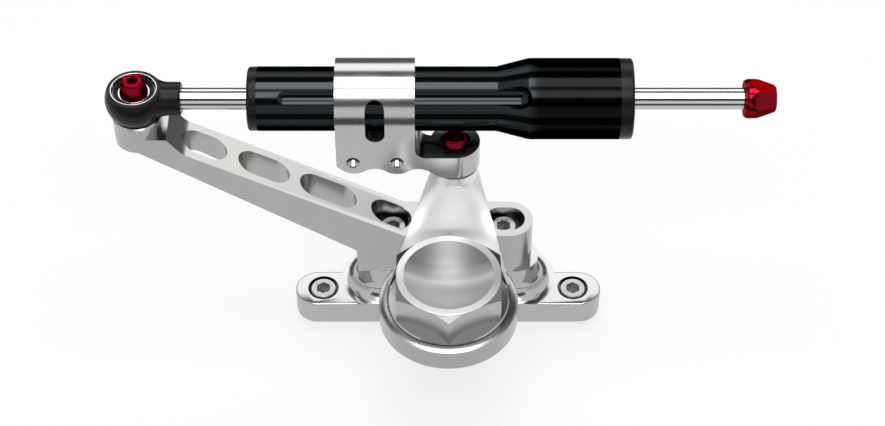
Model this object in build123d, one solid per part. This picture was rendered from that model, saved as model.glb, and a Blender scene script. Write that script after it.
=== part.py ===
from build123d import *
import math
import os

# A linear steering damper for a motorcycle, with the parts that mount it over the steering stem.
# Lengths are in millimetres. The origin lies midway between the two frame screws, on the bracket's
# underside. X runs along the damper towards the adjuster knob, Y points ahead of the rider, Z is up.

# Threads, screws and fits shared by several pieces
m6_r = 3.0
m6_head_r = 5.0
m6_head_h = 6.0
m6_socket_r = 2.9
m6_waist_r = 2.65
m5_r = 2.5
m5_head_r = 4.25
m5_head_h = 5.0
m5_socket_r = 2.3
socket_depth_share = 0.55
thread_fit = 0.05
shank_play = 0.25
head_play = 1.0
running_fit = 0.04
overrun = 2.0
edge_break = 0.5

# Frame bracket: a plate with two wings and a pillar between them
plate_t = 10.4
screw_spacing = 98.0
wing_half_length = 59.85
wing_r = 8.65
frame_screw_length = 10.0
setback = 5.4
pillar_half_span = 25.5
pillar_r = 9.5
pillar_h = 14.1
flare_r = 7.4
rear_reach = 14.0
pillar_thread_depth = 18.0

# Reach arm, bolted on the pillar and rising to the rod end
arm_w = 18.0
bar_h = 19.9
bar_end_x = 32.4
arm_screw_spacing = 42.5
arm_screw_length = 25.0
pocket_depth = 9.8
pocket_length = 15.3
pocket_w = 11.8
pocket_shift = 0.5
slope_start_x = -16.8
pad_x = -113.4
pad_rise = 51.1
pad_t = 6.4
step_setback = 10.8
step_run = 5.4
step_h = 7.3
step_round = 7.0
boss_h = 5.1
foot_side_h = 11.6
foot_round = 2.0
slot_w = 11.2
slot_start_shares = (-0.01, 0.238, 0.515)
slot_end_shares = (0.189, 0.469, 0.777)

# Rod end with its ball, sleeve and clip
eye_r = 10.8
eye_rise = 4.8
eye_drop = 6.6
eye_top_round = 1.6
eye_low_round = 2.4
shank_length = 16.9
shank_r = 6.15
neck_start = 7.3
neck_start_r = 7.9
neck_foot = 9.4
neck_r = 7.0
race_r = 8.3
race_half_t = 2.6
eye_ball_r = 6.6
eye_ball_half_t = 3.3
sleeve_r = 4.0
sleeve_flange_r = 5.5
sleeve_h = 9.1
clip_t = 0.9
clip_lip = 0.6
clip_w = 0.9
clip_gap_share = 0.12
taper_head_h = 5.7
taper_head_base_r = 5.2
taper_head_top_r = 3.8

# Rod, piston and adjuster
rod_r = 4.0
rod_thread_depth = 7.0
exposed_rod = 24.2
free_rod = 40.5
piston_offset = 53.3
piston_l = 9.0
piston_play = 0.3
band_w = 4.0
band_t = 1.3
rod_clip_t = 1.0
rod_clip_bite = 0.6
rod_clip_r = 5.6
needle_r = 1.2
needle_thread_r = 1.9
needle_thread_l = 4.0
needle_tip_l = 3.0
needle_travel = 1.0
knob_l = 11.35
knob_r = 7.15
knob_collar_l = 5.2
knob_end_r = 5.0
knob_bore_l = 5.3
knob_chamfer = 1.1
knob_flat_start = 1.5
knob_flat_end_r = 4.3
knob_flat_tilt = 55.0

# Barrel and its caps
barrel_r = 11.7
barrel_l = 85.9
cone_l = 11.9
chamber_r = 14.75
chamber_l = 32.4
bore_share = 0.795
chamber_wall = 2.55
bore_step_offset = 13.9
bore_step_l = 3.5
left_cap_t = 3.5
right_cap_t = 4.8
cap_reveal = 0.1
cap_round = 1.0
spigot_l = 8.0
bush_share = 0.30
bush_l = 4.0
seal_share = 0.45
seal_l = 2.4
wiper_share = 0.34
wiper_l = 1.4
ring_groove = 1.5
ring_wire_r = 0.7
flute_tool_r = 4.7
flute_half_w = 2.5
flute_start = 8.15
flute_end = 0.6
flute_count = 3
flute_tilt = 45.0
separator_l = 8.0
separator_gap = 8.3
separator_play = 0.3
separator_band_w = 3.0
separator_band_t = 1.4

# Body clamp round the barrel, with the arm that carries the pivot bearing
clamp_r = 14.85
clamp_l = 28.6
clamp_gap = 14.5
pinch_drop = 18.0
pinch_spacing = 15.9
pinch_length = 16.0
pinch_head_depth = 5.2
pinch_shift = 0.3
slit_w = 1.6
rear_jaw = 10.1
lobe_drop = 7.3
valley_drop = 1.6
wave_share = 0.775
arm_top_drop = 15.7
lug_arm_t = 10.1
lug_arm_r = 9.1
lug_fillet = 4.0
scallop_r = 7.0
scallop_depth = 6.3
window_w = 7.0
window_l = 17.3
window_rise = 1.25

# Pivot bearing between the clamp's arm and the stem plate
pivot_ball_r = 5.5
pivot_ball_half_t = 3.0
pivot_race_r = 7.0
pivot_race_half_t = 2.5
pivot_ball_rise = 3.9
pivot_head_gap = 0.5
pivot_bolt_l = 20.0
washer_t = 2.6
washer_r = 4.8

# Stem plate, from the ring round the nut up to the pivot
lever = 40.25
pivot_offset = 2.4
collar_r = 8.5
collar_h = 3.5
post_h = 26.3
post_head_r = 8.6
post_foot_r = 23.5
stem_ring_r = 25.5
stem_ring_h = 9.0
recess_r = 22.6
recess_depth = 6.0
stem_bore_r = 14.0

# Stem nut
flange_play = 0.3
flange_t = 6.7
hex_flats = 38.0
hex_h = 12.7
nut_turn = 30.0
crown_angle = 30.0
dish_r = 16.4
dish_depth = 5.4
stem_thread_r = 12.5
stem_thread_depth = 13.4

# Heights that follow from the sizes above
pillar_top = plate_t + pillar_h
bar_top = pillar_top + bar_h
pad_top = bar_top + pad_rise
boss_top = pad_top + boss_h
damper_z = pad_top + sleeve_h + eye_ball_half_t
damper_y = setback
pinch_z = damper_z - pinch_drop
arm_top_z = damper_z - arm_top_drop
arm_low_z = arm_top_z - lug_arm_t
pivot_ball_z = arm_low_z + pivot_ball_rise
pivot_head_z = pivot_ball_z + pivot_ball_half_t
collar_top = pivot_ball_z - pivot_ball_half_t - washer_t
collar_low = collar_top - collar_h
ring_top = collar_low - post_h
ring_low = ring_top - stem_ring_h
recess_floor = ring_top - recess_depth

# A hexagon's corner radius over the radius of its flats
hex_corner_share = 1 / math.cos(math.pi / 6)

# Places along the damper that follow from the sizes above
shank_end_x = pad_x + shank_length
cap_left_x = shank_end_x + exposed_rod
barrel_x = cap_left_x + left_cap_t
cone_x = barrel_x + barrel_l
chamber_x = cone_x + cone_l
barrel_end_x = chamber_x + chamber_l
cap_right_x = barrel_end_x + right_cap_t
knob_x = cap_right_x + free_rod
knob_end_x = knob_x + knob_l
rod_start_x = shank_end_x - rod_thread_depth
rod_end_x = knob_x + knob_bore_l - running_fit
piston_x = barrel_x + piston_offset
bore_r = barrel_r * bore_share
chamber_bore_r = chamber_r - chamber_wall
bore_step_x = cone_x + bore_step_offset
chamber_start_x = bore_step_x + bore_step_l
separator_x = chamber_start_x + separator_gap
stem_x = 0.0
pivot_x = stem_x + pivot_offset
clamp_end_x = pivot_x - clamp_gap
clamp_x = clamp_end_x - clamp_l
front_y = damper_y - clamp_r
pivot_y = front_y + lug_arm_r
stem_y = pivot_y - lever


def rounded(points, rounds=()):
    # A closed flat outline. rounds pairs a corner's number with its radius.
    face = make_face(Polyline(*points, close=True))
    for corner, radius in rounds:
        target = Vector(*points[corner])
        nearest = min(face.vertices(), key=lambda v: (Vector(v) - target).length)
        face = fillet(nearest, radius)
    return face


def turned_x(points, rounds=()):
    # Turned about the damper's axis from (place along X, radius) points.
    return Pos(0, damper_y, damper_z) * revolve(rounded(points, rounds), Axis.X)


def turned_z(points, x, y, rounds=()):
    # Turned about an upright axis from (radius, height) points.
    return Pos(x, y, 0) * revolve(Plane.XZ * rounded(points, rounds), Axis.Z)


def upright(radius, low, high, x, y):
    place = Pos(x, y, low)
    return place * Cylinder(radius, high - low, align=(Align.CENTER, Align.CENTER, Align.MIN))


def along_x(radius, start, end):
    place = Pos(start, damper_y, damper_z) * Rot(0, 90, 0)
    return place * Cylinder(radius, end - start, align=(Align.CENTER, Align.CENTER, Align.MIN))


def along_y(radius, start, end, x, z):
    place = Pos(x, start, z) * Rot(-90, 0, 0)
    return place * Cylinder(radius, end - start, align=(Align.CENTER, Align.CENTER, Align.MIN))


def tube_x(outer, inner, start, end):
    return along_x(outer, start, end) - along_x(inner, start - overrun, end + overrun)


def block(low, high):
    # A box between two corners.
    sizes = [b - a for a, b in zip(low, high)]
    return Pos(*low) * Box(*sizes, align=(Align.MIN, Align.MIN, Align.MIN))


def hexagon(across_corners_r, low, high):
    # An upright six-sided prism, centred on the origin.
    return Pos(0, 0, low) * extrude(RegularPolygon(across_corners_r, 6), high - low)


def cap_screw(shank_r, length, head_r, head_h, socket_r):
    # Seat at height 0, shank pointing down.
    points = [
        (0, -length),
        (shank_r - edge_break, -length),
        (shank_r, edge_break - length),
        (shank_r, 0),
        (head_r, 0),
        (head_r, head_h - edge_break),
        (head_r - edge_break, head_h),
        (0, head_h),
    ]
    screw = turned_z(points, 0, 0)
    return screw - hexagon(socket_r, head_h * (1 - socket_depth_share), head_h + overrun)


def taper_bolt(length):
    # Seat at height 0, conical head above it, shank pointing down.
    points = [
        (0, -length),
        (m6_r - edge_break, -length),
        (m6_r, edge_break - length),
        (m6_r, 0),
        (taper_head_base_r, 0),
        (taper_head_base_r, edge_break),
        (taper_head_top_r, taper_head_h),
        (0, taper_head_h),
    ]
    bolt = turned_z(points, 0, 0)
    socket_r = m6_socket_r * taper_head_top_r / m6_head_r
    return bolt - hexagon(socket_r, taper_head_h * (1 - socket_depth_share), taper_head_h + overrun)


def frame_bracket():
    spread = pillar_r + flare_r
    stock = extrude(SlotCenterToCenter(2 * pillar_half_span, 2 * (spread + overrun)), plate_t)
    pillar = Pos(0, 0, plate_t) * extrude(SlotCenterToCenter(2 * pillar_half_span, 2 * pillar_r), pillar_h)
    body = stock + pillar
    foot = [e for e in body.edges() if abs((e @ 0).Z - plate_t) < running_fit]
    foot = [e for e in foot if abs((e @ 1).Z - plate_t) < running_fit and abs((e @ 0).Y) < spread]
    body = fillet(foot, flare_r)
    body = body & extrude(SlotCenterToCenter(2 * pillar_half_span, 2 * spread), pillar_top)
    body = Pos(0, setback, 0) * body
    body = body & block(
        (-wing_half_length, -wing_r, 0), (wing_half_length, setback + rear_reach, pillar_top)
    )
    wings = extrude(SlotOverall(2 * wing_half_length, 2 * wing_r), plate_t)
    wings = chamfer(wings.edges().group_by(Axis.Z)[-1], edge_break)
    body = body + wings
    for side in (-1, 1):
        x = side * screw_spacing / 2
        body = body - upright(m6_r + shank_play, -overrun, plate_t, x, 0)
        body = body - upright(m6_head_r + head_play, plate_t - m6_head_h, plate_t + overrun, x, 0)
        x = side * arm_screw_spacing / 2
        low = pillar_top - pillar_thread_depth
        body = body - upright(m6_r + thread_fit, low, pillar_top + overrun, x, setback)
    return body


def bracket_screws():
    # The shank is waisted inside the bracket, and its thread starts at the bracket's underside.
    screw = cap_screw(m6_r, frame_screw_length, m6_head_r, m6_head_h, m6_socket_r)
    seat = plate_t - m6_head_h
    waist = upright(m6_head_r, -seat, 0, 0, 0) - upright(m6_waist_r, -seat - overrun, overrun, 0, 0)
    screw = screw - waist
    return [Pos(side * screw_spacing / 2, 0, seat) * screw for side in (-1, 1)]


def arm_side_view():
    # The arm seen from the front, as (X, Z) corners.
    crest_x = pad_x + step_setback
    foot_x = -(pillar_half_span + pillar_r)
    return [
        (foot_x, pillar_top),
        (bar_end_x, pillar_top),
        (bar_end_x, bar_top),
        (slope_start_x, bar_top),
        (crest_x + step_run, pad_top - step_h),
        (crest_x, pad_top),
        (pad_x - arm_w / 2, pad_top),
        (pad_x - arm_w / 2, pad_top - pad_t),
        (pad_x, pad_top - pad_t),
        (foot_x, pillar_top + foot_side_h),
    ]


def reach_arm():
    points = arm_side_view()
    foot_corner = len(points) - 1
    step_corner = points.index((pad_x + step_setback + step_run, pad_top - step_h))
    side_view = rounded(points, [(step_corner, step_round), (foot_corner, foot_round)])
    arm = extrude(Plane.XZ * side_view, arm_w / 2, both=True)
    length = bar_end_x - pad_x + arm_w / 2
    outline = Pos(bar_end_x - length / 2, 0, pillar_top) * SlotOverall(length, arm_w)
    arm = arm & extrude(outline, bar_h + pad_rise)
    step_foot = pad_x + step_setback + step_run
    slope_run = slope_start_x - step_foot
    for start, end in zip(slot_start_shares, slot_end_shares):
        middle = step_foot + slope_run * (start + end) / 2
        slot = SlotOverall(slope_run * (end - start), slot_w)
        arm = arm - Pos(middle, 0, pillar_top) * extrude(slot, bar_h + pad_rise)
    seat = bar_top - pocket_depth
    for side in (-1, 1):
        x = side * arm_screw_spacing / 2
        pocket = extrude(SlotOverall(pocket_length, pocket_w), pocket_depth + bar_h)
        arm = arm - Pos(x + side * pocket_shift, 0, seat) * pocket
        arm = arm - upright(m6_r + shank_play, pillar_top - overrun, seat + overrun, x, 0)
    boss = upright(arm_w / 2, pad_top, boss_top, pad_x, 0)
    arm = arm + chamfer(boss.edges().group_by(Axis.Z)[-1], edge_break)
    arm = arm - upright(m6_r + thread_fit, pad_top - pad_t - overrun, boss_top + overrun, pad_x, 0)
    return Pos(0, setback, 0) * arm


def arm_screws():
    screw = cap_screw(m6_r, arm_screw_length, m6_head_r, m6_head_h, m6_socket_r)
    seat = bar_top - pocket_depth
    return [Pos(side * arm_screw_spacing / 2, setback, seat) * screw for side in (-1, 1)]


def rod_end_sleeve():
    ball_low = pad_top + sleeve_h
    ball_top = ball_low + 2 * eye_ball_half_t
    points = [
        (m6_r + thread_fit, boss_top),
        (sleeve_flange_r, boss_top),
        (sleeve_flange_r, ball_low),
        (sleeve_r, ball_low),
        (sleeve_r, ball_top),
        (m6_r + thread_fit, ball_top),
    ]
    return turned_z(points, pad_x, setback)


def rod_end_ball():
    ball = Sphere(eye_ball_r) & upright(eye_ball_r, -eye_ball_half_t, eye_ball_half_t, 0, 0)
    ball = ball - upright(sleeve_r + thread_fit, -eye_ball_r, eye_ball_r, 0, 0)
    return Pos(pad_x, damper_y, damper_z) * ball


def rod_end_bolt():
    seat = damper_z + eye_ball_half_t
    return Pos(pad_x, setback, seat) * taper_bolt(seat - pad_top + pad_t - thread_fit)


def rod_end():
    neck = [
        (0, 0),
        (0, neck_start_r),
        (neck_start, neck_start_r),
        (neck_foot, shank_r),
        (shank_length, shank_r),
        (shank_length, 0),
    ]
    half = rounded(neck, [(3, neck_r)])
    corner = Vector(shank_length, shank_r)
    half = chamfer(min(half.vertices(), key=lambda v: (Vector(v) - corner).length), edge_break)
    body = revolve(half, Axis.X)
    outline = [(0, -eye_drop), (eye_r, -eye_drop), (eye_r, eye_rise), (0, eye_rise)]
    body = body + turned_z(outline, 0, 0, [(1, eye_low_round), (2, eye_top_round)])
    body = body - upright(eye_r - eye_top_round, eye_rise, eye_r + overrun, 0, 0)
    body = body - upright(eye_r - eye_low_round, -eye_r - overrun, -eye_drop, 0, 0)
    body = body - upright(race_r, -race_half_t, eye_r, 0, 0)
    body = body - upright(eye_ball_r + edge_break, -eye_r, eye_r, 0, 0)
    body = body - upright(race_r + clip_lip, race_half_t, race_half_t + clip_t, 0, 0)
    body = Pos(pad_x, damper_y, damper_z) * body
    return body - along_x(rod_r + thread_fit, rod_start_x, shank_end_x + overrun)


def bearing_race(outer_r, half_t, ball_r):
    return upright(outer_r, -half_t, half_t, 0, 0) - Sphere(ball_r + running_fit)


def snap_ring(seat_r, low, opening):
    # An inside clip sprung into its groove, open towards the given side.
    outer = seat_r + clip_lip - thread_fit
    inner = seat_r - clip_w
    ring = upright(outer, low, low + clip_t - thread_fit, 0, 0)
    ring = ring - upright(inner, low - overrun, low + clip_t + overrun, 0, 0)
    gap = seat_r * clip_gap_share * 2
    cut = Rot(0, 0, opening) * block((0, -gap / 2, low - overrun), (2 * outer, gap / 2, low + clip_t + overrun))
    return ring - cut


def rod_end_race():
    return Pos(pad_x, damper_y, damper_z) * bearing_race(race_r, race_half_t, eye_ball_r)


def rod_end_clip():
    return Pos(pad_x, damper_y, damper_z) * snap_ring(race_r, race_half_t, 90)


def clip_places():
    # Where the two rod clips hold the piston, from its centre outwards.
    return [piston_x - piston_l / 2 - rod_clip_t, piston_x + piston_l / 2]


def damper_rod():
    rod = along_x(rod_r, rod_start_x, rod_end_x)
    rod = chamfer(rod.edges().filter_by(GeomType.CIRCLE), edge_break)
    bore_start = piston_x - piston_l
    rod = rod - along_x(needle_r + running_fit, bore_start, rod_end_x + overrun)
    rod = rod - along_x(
        needle_thread_r + running_fit, rod_end_x - needle_thread_l - needle_travel, rod_end_x + overrun
    )
    for start in clip_places():
        rod = rod - tube_x(rod_r + overrun, rod_r - rod_clip_bite, start, start + rod_clip_t)
    return rod


def damper_piston():
    piston = tube_x(bore_r - piston_play, rod_r, piston_x - piston_l / 2, piston_x + piston_l / 2)
    floor_r = bore_r - band_t
    return piston - tube_x(bore_r, floor_r, piston_x - band_w / 2, piston_x + band_w / 2)


def piston_band():
    half = band_w / 2 - thread_fit
    return tube_x(bore_r - running_fit, bore_r - band_t, piston_x - half, piston_x + half)


def piston_clips():
    return [
        tube_x(rod_clip_r, rod_r - rod_clip_bite, start, start + rod_clip_t) for start in clip_places()
    ]


def adjuster_needle():
    # Tip by the piston's ports, threaded end inside the knob.
    tip_x = piston_x - piston_l + needle_travel + running_fit
    end_x = knob_end_x - knob_chamfer - needle_travel
    points = [
        (tip_x, 0),
        (tip_x + needle_tip_l, needle_r),
        (rod_end_x - needle_thread_l, needle_r),
        (rod_end_x - needle_thread_l, needle_thread_r),
        (end_x, needle_thread_r),
        (end_x, 0),
    ]
    return turned_x(points)


def adjuster_knob():
    points = [
        (knob_x, 0),
        (knob_x, knob_r - knob_chamfer / 2),
        (knob_x + knob_chamfer, knob_r),
        (knob_x + knob_collar_l, knob_r),
        (knob_end_x - knob_chamfer / 2, knob_end_r),
        (knob_end_x, knob_end_r - knob_chamfer / 2),
        (knob_end_x, 0),
    ]
    knob = turned_x(points)
    flat_x = knob_x + knob_flat_start
    wide = RegularPolygon(knob_r * hex_corner_share, 6)
    narrow = RegularPolygon(knob_flat_end_r * hex_corner_share, 6)
    run = knob_end_x - flat_x
    pyramid = loft([wide, Pos(0, 0, run) * narrow], ruled=True)
    pyramid = pyramid + upright(knob_r * hex_corner_share, -knob_l, 0, 0, 0)
    flats = Pos(flat_x, damper_y, damper_z) * Rot(knob_flat_tilt, 0, 0) * Rot(0, 90, 0) * pyramid
    knob = knob & flats
    knob = knob - along_x(rod_r + running_fit, knob_x - overrun, knob_x + knob_bore_l)
    needle_end = knob_end_x - knob_chamfer
    return knob - along_x(needle_thread_r + running_fit, knob_x, needle_end)


def flute(turn):
    # A ball-nosed cutter's path along the barrel, running out in the cone.
    tool_y = math.sqrt(barrel_r**2 - flute_half_w**2) + math.sqrt(flute_tool_r**2 - flute_half_w**2)
    start = barrel_x + flute_start + flute_half_w
    end = chamber_x + flute_end - flute_tool_r
    groove = Rot(0, 90, 0) * upright(flute_tool_r, start, end, 0, 0)
    groove = groove + Pos(start, 0, 0) * Sphere(flute_tool_r) + Pos(end, 0, 0) * Sphere(flute_tool_r)
    return Pos(0, damper_y, damper_z) * Rot(turn, 0, 0) * Pos(0, -tool_y, 0) * groove


def barrel():
    points = [
        (barrel_x, bore_r),
        (barrel_x, barrel_r),
        (cone_x, barrel_r),
        (chamber_x, chamber_r),
        (barrel_end_x, chamber_r),
        (barrel_end_x, chamber_bore_r),
        (chamber_start_x, chamber_bore_r),
        (bore_step_x, bore_r),
    ]
    body = turned_x(points, [(2, barrel_r / 2), (3, barrel_r / 2)])
    for number in range(flute_count):
        body = body - flute(-flute_tilt + number * 360 / flute_count)
    return body


def end_cap(face_x, outward, thickness, outer_r, bore):
    # A cap screwed into the barrel. outward is -1 for the left end and 1 for the right.
    seat = face_x - outward * thickness
    inner = seat - outward * spigot_l
    points = [
        (inner, rod_r + running_fit * 2),
        (inner, bore),
        (seat, bore),
        (seat, outer_r),
        (face_x, outer_r),
        (face_x, rod_r + running_fit * 2),
    ]
    cap = turned_x(points, [(4, cap_round)])
    for start, end, radius in gland_places(face_x, outward, thickness):
        cap = cap - along_x(radius, min(start, end), max(start, end))
    groove = seat - outward * spigot_l / 2
    low = groove - ring_groove / 2
    return cap - tube_x(bore + overrun, bore - ring_groove, low, low + ring_groove)


def gland_places(face_x, outward, thickness):
    # Bush at the oil end, then the seal, then the wiper at the outer face.
    inner = face_x - outward * (thickness + spigot_l)
    bush_end = inner + outward * bush_l
    seal_start = bush_end + outward * edge_break
    seal_end = seal_start + outward * seal_l
    wiper_start = face_x - outward * wiper_l
    room = bore_r - rod_r
    return [
        (inner, bush_end, rod_r + bush_share * room),
        (seal_start, seal_end, rod_r + seal_share * room),
        (wiper_start, face_x, rod_r + wiper_share * room),
    ]


def left_cap():
    return end_cap(cap_left_x, -1, left_cap_t, barrel_r - cap_reveal, bore_r)


def right_cap():
    return end_cap(cap_right_x, 1, right_cap_t, chamber_r - cap_reveal, chamber_bore_r)


def gland_rings(number, clearance):
    rings = []
    for face_x, outward, thickness in ((cap_left_x, -1, left_cap_t), (cap_right_x, 1, right_cap_t)):
        start, end, radius = gland_places(face_x, outward, thickness)[number]
        rings.append(tube_x(radius, rod_r + clearance, min(start, end), max(start, end)))
    return rings


def cap_o_rings():
    rings = []
    for seat, outward, bore in ((barrel_x, -1, bore_r), (barrel_end_x, 1, chamber_bore_r)):
        middle = seat - outward * spigot_l / 2
        ring = Torus(bore - ring_wire_r - running_fit, ring_wire_r)
        rings.append(Pos(middle, damper_y, damper_z) * Rot(0, 90, 0) * ring)
    return rings


def separator_piston():
    end = separator_x + separator_l
    piston = tube_x(chamber_bore_r - separator_play, rod_r + 2 * running_fit, separator_x, end)
    middle = separator_x + separator_l / 2
    floor_r = chamber_bore_r - separator_band_t
    half = separator_band_w / 2
    return piston - tube_x(chamber_bore_r, floor_r, middle - half, middle + half)


def separator_ring():
    middle = separator_x + separator_l / 2
    half = separator_band_w / 2 - thread_fit
    outer = chamber_bore_r - running_fit
    return tube_x(outer, chamber_bore_r - separator_band_t, middle - half, middle + half)


def lug_front_view():
    # The clamp's lug and arm seen from the front, as (X, Z) corners with a waved lower edge.
    left_screw, right_screw = pinch_places()
    lobe = pinch_z - lobe_drop
    valley = pinch_z - valley_drop
    half_wave = pinch_spacing / 2
    return [
        (clamp_x, damper_z),
        (clamp_x, pinch_z - valley_drop - edge_break),
        (left_screw, lobe),
        (left_screw + half_wave, valley),
        (right_screw, lobe),
        (right_screw + half_wave, valley),
        (right_screw + pinch_spacing, arm_low_z),
        (pivot_x + lug_arm_r, arm_low_z),
        (pivot_x + lug_arm_r, arm_top_z),
        (clamp_end_x, arm_top_z),
        (clamp_end_x, damper_z),
    ]


def body_clamp():
    points = lug_front_view()
    half_wave = pinch_spacing / 2
    rounds = [(corner, wave_share * half_wave) for corner in (2, 3, 4, 5)]
    rounds = rounds + [(6, lug_fillet), (9, lug_fillet)]
    rear_y = damper_y + rear_jaw
    lug = extrude(Plane.XZ * rounded(points, rounds), -(rear_y - front_y))
    lug = Pos(0, front_y, 0) * lug
    top = damper_z + clamp_r
    plan = block((clamp_x - overrun, front_y, arm_low_z - overrun), (clamp_end_x, rear_y, top))
    neck = block((clamp_end_x - overrun, front_y, arm_low_z), (pivot_x, pivot_y + lug_arm_r, top))
    scallop_y = front_y + 2 * lug_arm_r - scallop_depth + scallop_r
    scallop_x = clamp_end_x + scallop_r - edge_break
    neck = neck - upright(scallop_r, arm_low_z - overrun, top + overrun, scallop_x, scallop_y)
    plan = plan + neck + upright(lug_arm_r, arm_low_z, top, pivot_x, pivot_y)
    body = (lug & plan) + along_x(clamp_r, clamp_x, clamp_end_x)
    body = body - along_x(barrel_r, clamp_x - overrun, clamp_end_x + overrun)
    slit_y = damper_y - slit_w / 2
    body = body - block(
        (clamp_x - overrun, slit_y, arm_low_z - overrun), (clamp_end_x, slit_y + slit_w, damper_z)
    )
    window = Rot(90, 0, 0) * extrude(Rot(0, 0, 90) * SlotOverall(window_l, window_w), clamp_r + overrun)
    body = body - Pos(clamp_x + clamp_l / 2, damper_y, damper_z + window_rise) * window
    for x in pinch_places():
        body = body - along_y(m5_r + thread_fit, front_y - overrun, damper_y, x, pinch_z)
        body = body - along_y(m5_r + shank_play, damper_y, rear_y + overrun, x, pinch_z)
        body = body - along_y(m5_head_r + shank_play, rear_y - pinch_head_depth, rear_y + overrun, x, pinch_z)
    return body - pivot_housing()


def pinch_places():
    # The pinch screws sit a little left of the clamp's middle, away from the arm.
    left_screw = clamp_x + (clamp_l - pinch_spacing) / 2 - pinch_shift
    return [left_screw, left_screw + pinch_spacing]


def pivot_housing():
    # The bearing's bore from below, its clip groove and the opening for the bolt's head.
    race_top = pivot_ball_z + pivot_race_half_t
    race_low = pivot_ball_z - pivot_race_half_t
    head_r = taper_head_base_r + pivot_head_gap
    cut = upright(pivot_race_r, arm_low_z - overrun, race_top, pivot_x, pivot_y)
    cut = cut + upright(head_r, race_low, arm_top_z + overrun, pivot_x, pivot_y)
    return cut + upright(pivot_race_r + clip_lip, race_low - clip_t, race_low, pivot_x, pivot_y)


def clamp_screws():
    screw = cap_screw(m5_r, pinch_length, m5_head_r, m5_head_h, m5_socket_r)
    seat = damper_y + rear_jaw - pinch_head_depth
    return [Pos(x, seat, pinch_z) * Rot(-90, 0, 0) * screw for x in pinch_places()]


def pivot_race():
    place = Pos(pivot_x, pivot_y, pivot_ball_z)
    return place * bearing_race(pivot_race_r, pivot_race_half_t, pivot_ball_r)


def pivot_clip():
    low = -pivot_race_half_t - clip_t + thread_fit
    return Pos(pivot_x, pivot_y, pivot_ball_z) * snap_ring(pivot_race_r, low, 90)


def pivot_ball():
    ball = Sphere(pivot_ball_r) & upright(pivot_ball_r, -pivot_ball_half_t, pivot_ball_half_t, 0, 0)
    ball = ball - upright(m6_r + thread_fit, -pivot_ball_r, pivot_ball_r, 0, 0)
    return Pos(pivot_x, pivot_y, pivot_ball_z) * ball


def pivot_washer():
    low = collar_top
    washer = upright(washer_r, low, low + washer_t, pivot_x, pivot_y)
    return washer - upright(m6_r + thread_fit, low - overrun, low + washer_t + overrun, pivot_x, pivot_y)


def pivot_bolt():
    return Pos(pivot_x, pivot_y, pivot_head_z) * taper_bolt(pivot_bolt_l)


def stem_plate():
    ring = upright(stem_ring_r, ring_low, ring_top, stem_x, stem_y)
    ring = chamfer(ring.edges().filter_by(GeomType.CIRCLE), edge_break)
    foot = Pos(stem_x, stem_y, ring_top) * Circle(post_foot_r)
    head = Pos(pivot_x, pivot_y, collar_low) * Circle(post_head_r)
    post = loft([foot, head], ruled=True)
    collar = upright(collar_r, collar_low, collar_top, pivot_x, pivot_y)
    collar = chamfer(collar.edges().group_by(Axis.Z)[-1], edge_break)
    body = ring + post + collar
    body = body - upright(recess_r, recess_floor, collar_top, stem_x, stem_y)
    body = body - upright(stem_bore_r, ring_low - overrun, ring_top, stem_x, stem_y)
    thread_low = pivot_head_z - pivot_bolt_l - overrun
    return body - upright(m6_r + thread_fit, thread_low, collar_top + overrun, pivot_x, pivot_y)


def stem_nut():
    flange_top = recess_floor + flange_t
    nut_top = flange_top + hex_h
    flat_r = hex_flats / 2
    corner_r = flat_r * hex_corner_share
    hub = upright(stem_bore_r - 2 * running_fit, ring_low, recess_floor, stem_x, stem_y)
    flange = upright(recess_r - flange_play, recess_floor, flange_top, stem_x, stem_y)
    flange = chamfer(flange.edges().group_by(Axis.Z)[-1], edge_break)
    prism = Pos(stem_x, stem_y, 0) * Rot(0, 0, nut_turn) * hexagon(corner_r, flange_top, nut_top)
    side = corner_r + overrun
    crown = turned_z(
        [
            (0, flange_top),
            (side, flange_top),
            (side, nut_top - (side - flat_r) * math.tan(math.radians(crown_angle))),
            (flat_r, nut_top),
            (0, nut_top),
        ],
        stem_x,
        stem_y,
    )
    nut = hub + flange + (prism & crown)
    dish_sphere_r = (dish_r**2 + dish_depth**2) / (2 * dish_depth)
    nut = nut - Pos(stem_x, stem_y, nut_top - dish_depth + dish_sphere_r) * Sphere(dish_sphere_r)
    return nut - upright(stem_thread_r, ring_low - overrun, ring_low + stem_thread_depth, stem_x, stem_y)


pieces = {
    "frame_bracket": frame_bracket(),
    "bracket_screws": bracket_screws(),
    "reach_arm": reach_arm(),
    "arm_screws": arm_screws(),
    "rod_end_sleeve": rod_end_sleeve(),
    "rod_end_ball": rod_end_ball(),
    "rod_end_bolt": rod_end_bolt(),
    "rod_end": rod_end(),
    "rod_end_race": rod_end_race(),
    "rod_end_clip": rod_end_clip(),
    "damper_rod": damper_rod(),
    "damper_piston": damper_piston(),
    "piston_band": piston_band(),
    "piston_clips": piston_clips(),
    "adjuster_needle": adjuster_needle(),
    "adjuster_knob": adjuster_knob(),
    "barrel": barrel(),
    "left_cap": left_cap(),
    "right_cap": right_cap(),
    "rod_bushes": gland_rings(0, running_fit),
    "rod_seals": gland_rings(1, running_fit),
    "rod_wipers": gland_rings(2, running_fit),
    "cap_o_rings": cap_o_rings(),
    "separator_piston": separator_piston(),
    "separator_ring": separator_ring(),
    "body_clamp": body_clamp(),
    "clamp_screws": clamp_screws(),
    "pivot_race": pivot_race(),
    "pivot_clip": pivot_clip(),
    "pivot_ball": pivot_ball(),
    "pivot_washer": pivot_washer(),
    "pivot_bolt": pivot_bolt(),
    "stem_plate": stem_plate(),
    "stem_nut": stem_nut(),
}

os.makedirs("parts", exist_ok=True)
for name, shape in pieces.items():
    solid = Compound(children=list(shape)) if isinstance(shape, list) else shape
    export_step(solid, f"parts/{name}.step")
    print(name, "done")
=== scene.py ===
import math

import bmesh
import bpy
from mathutils import Matrix, Vector


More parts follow.
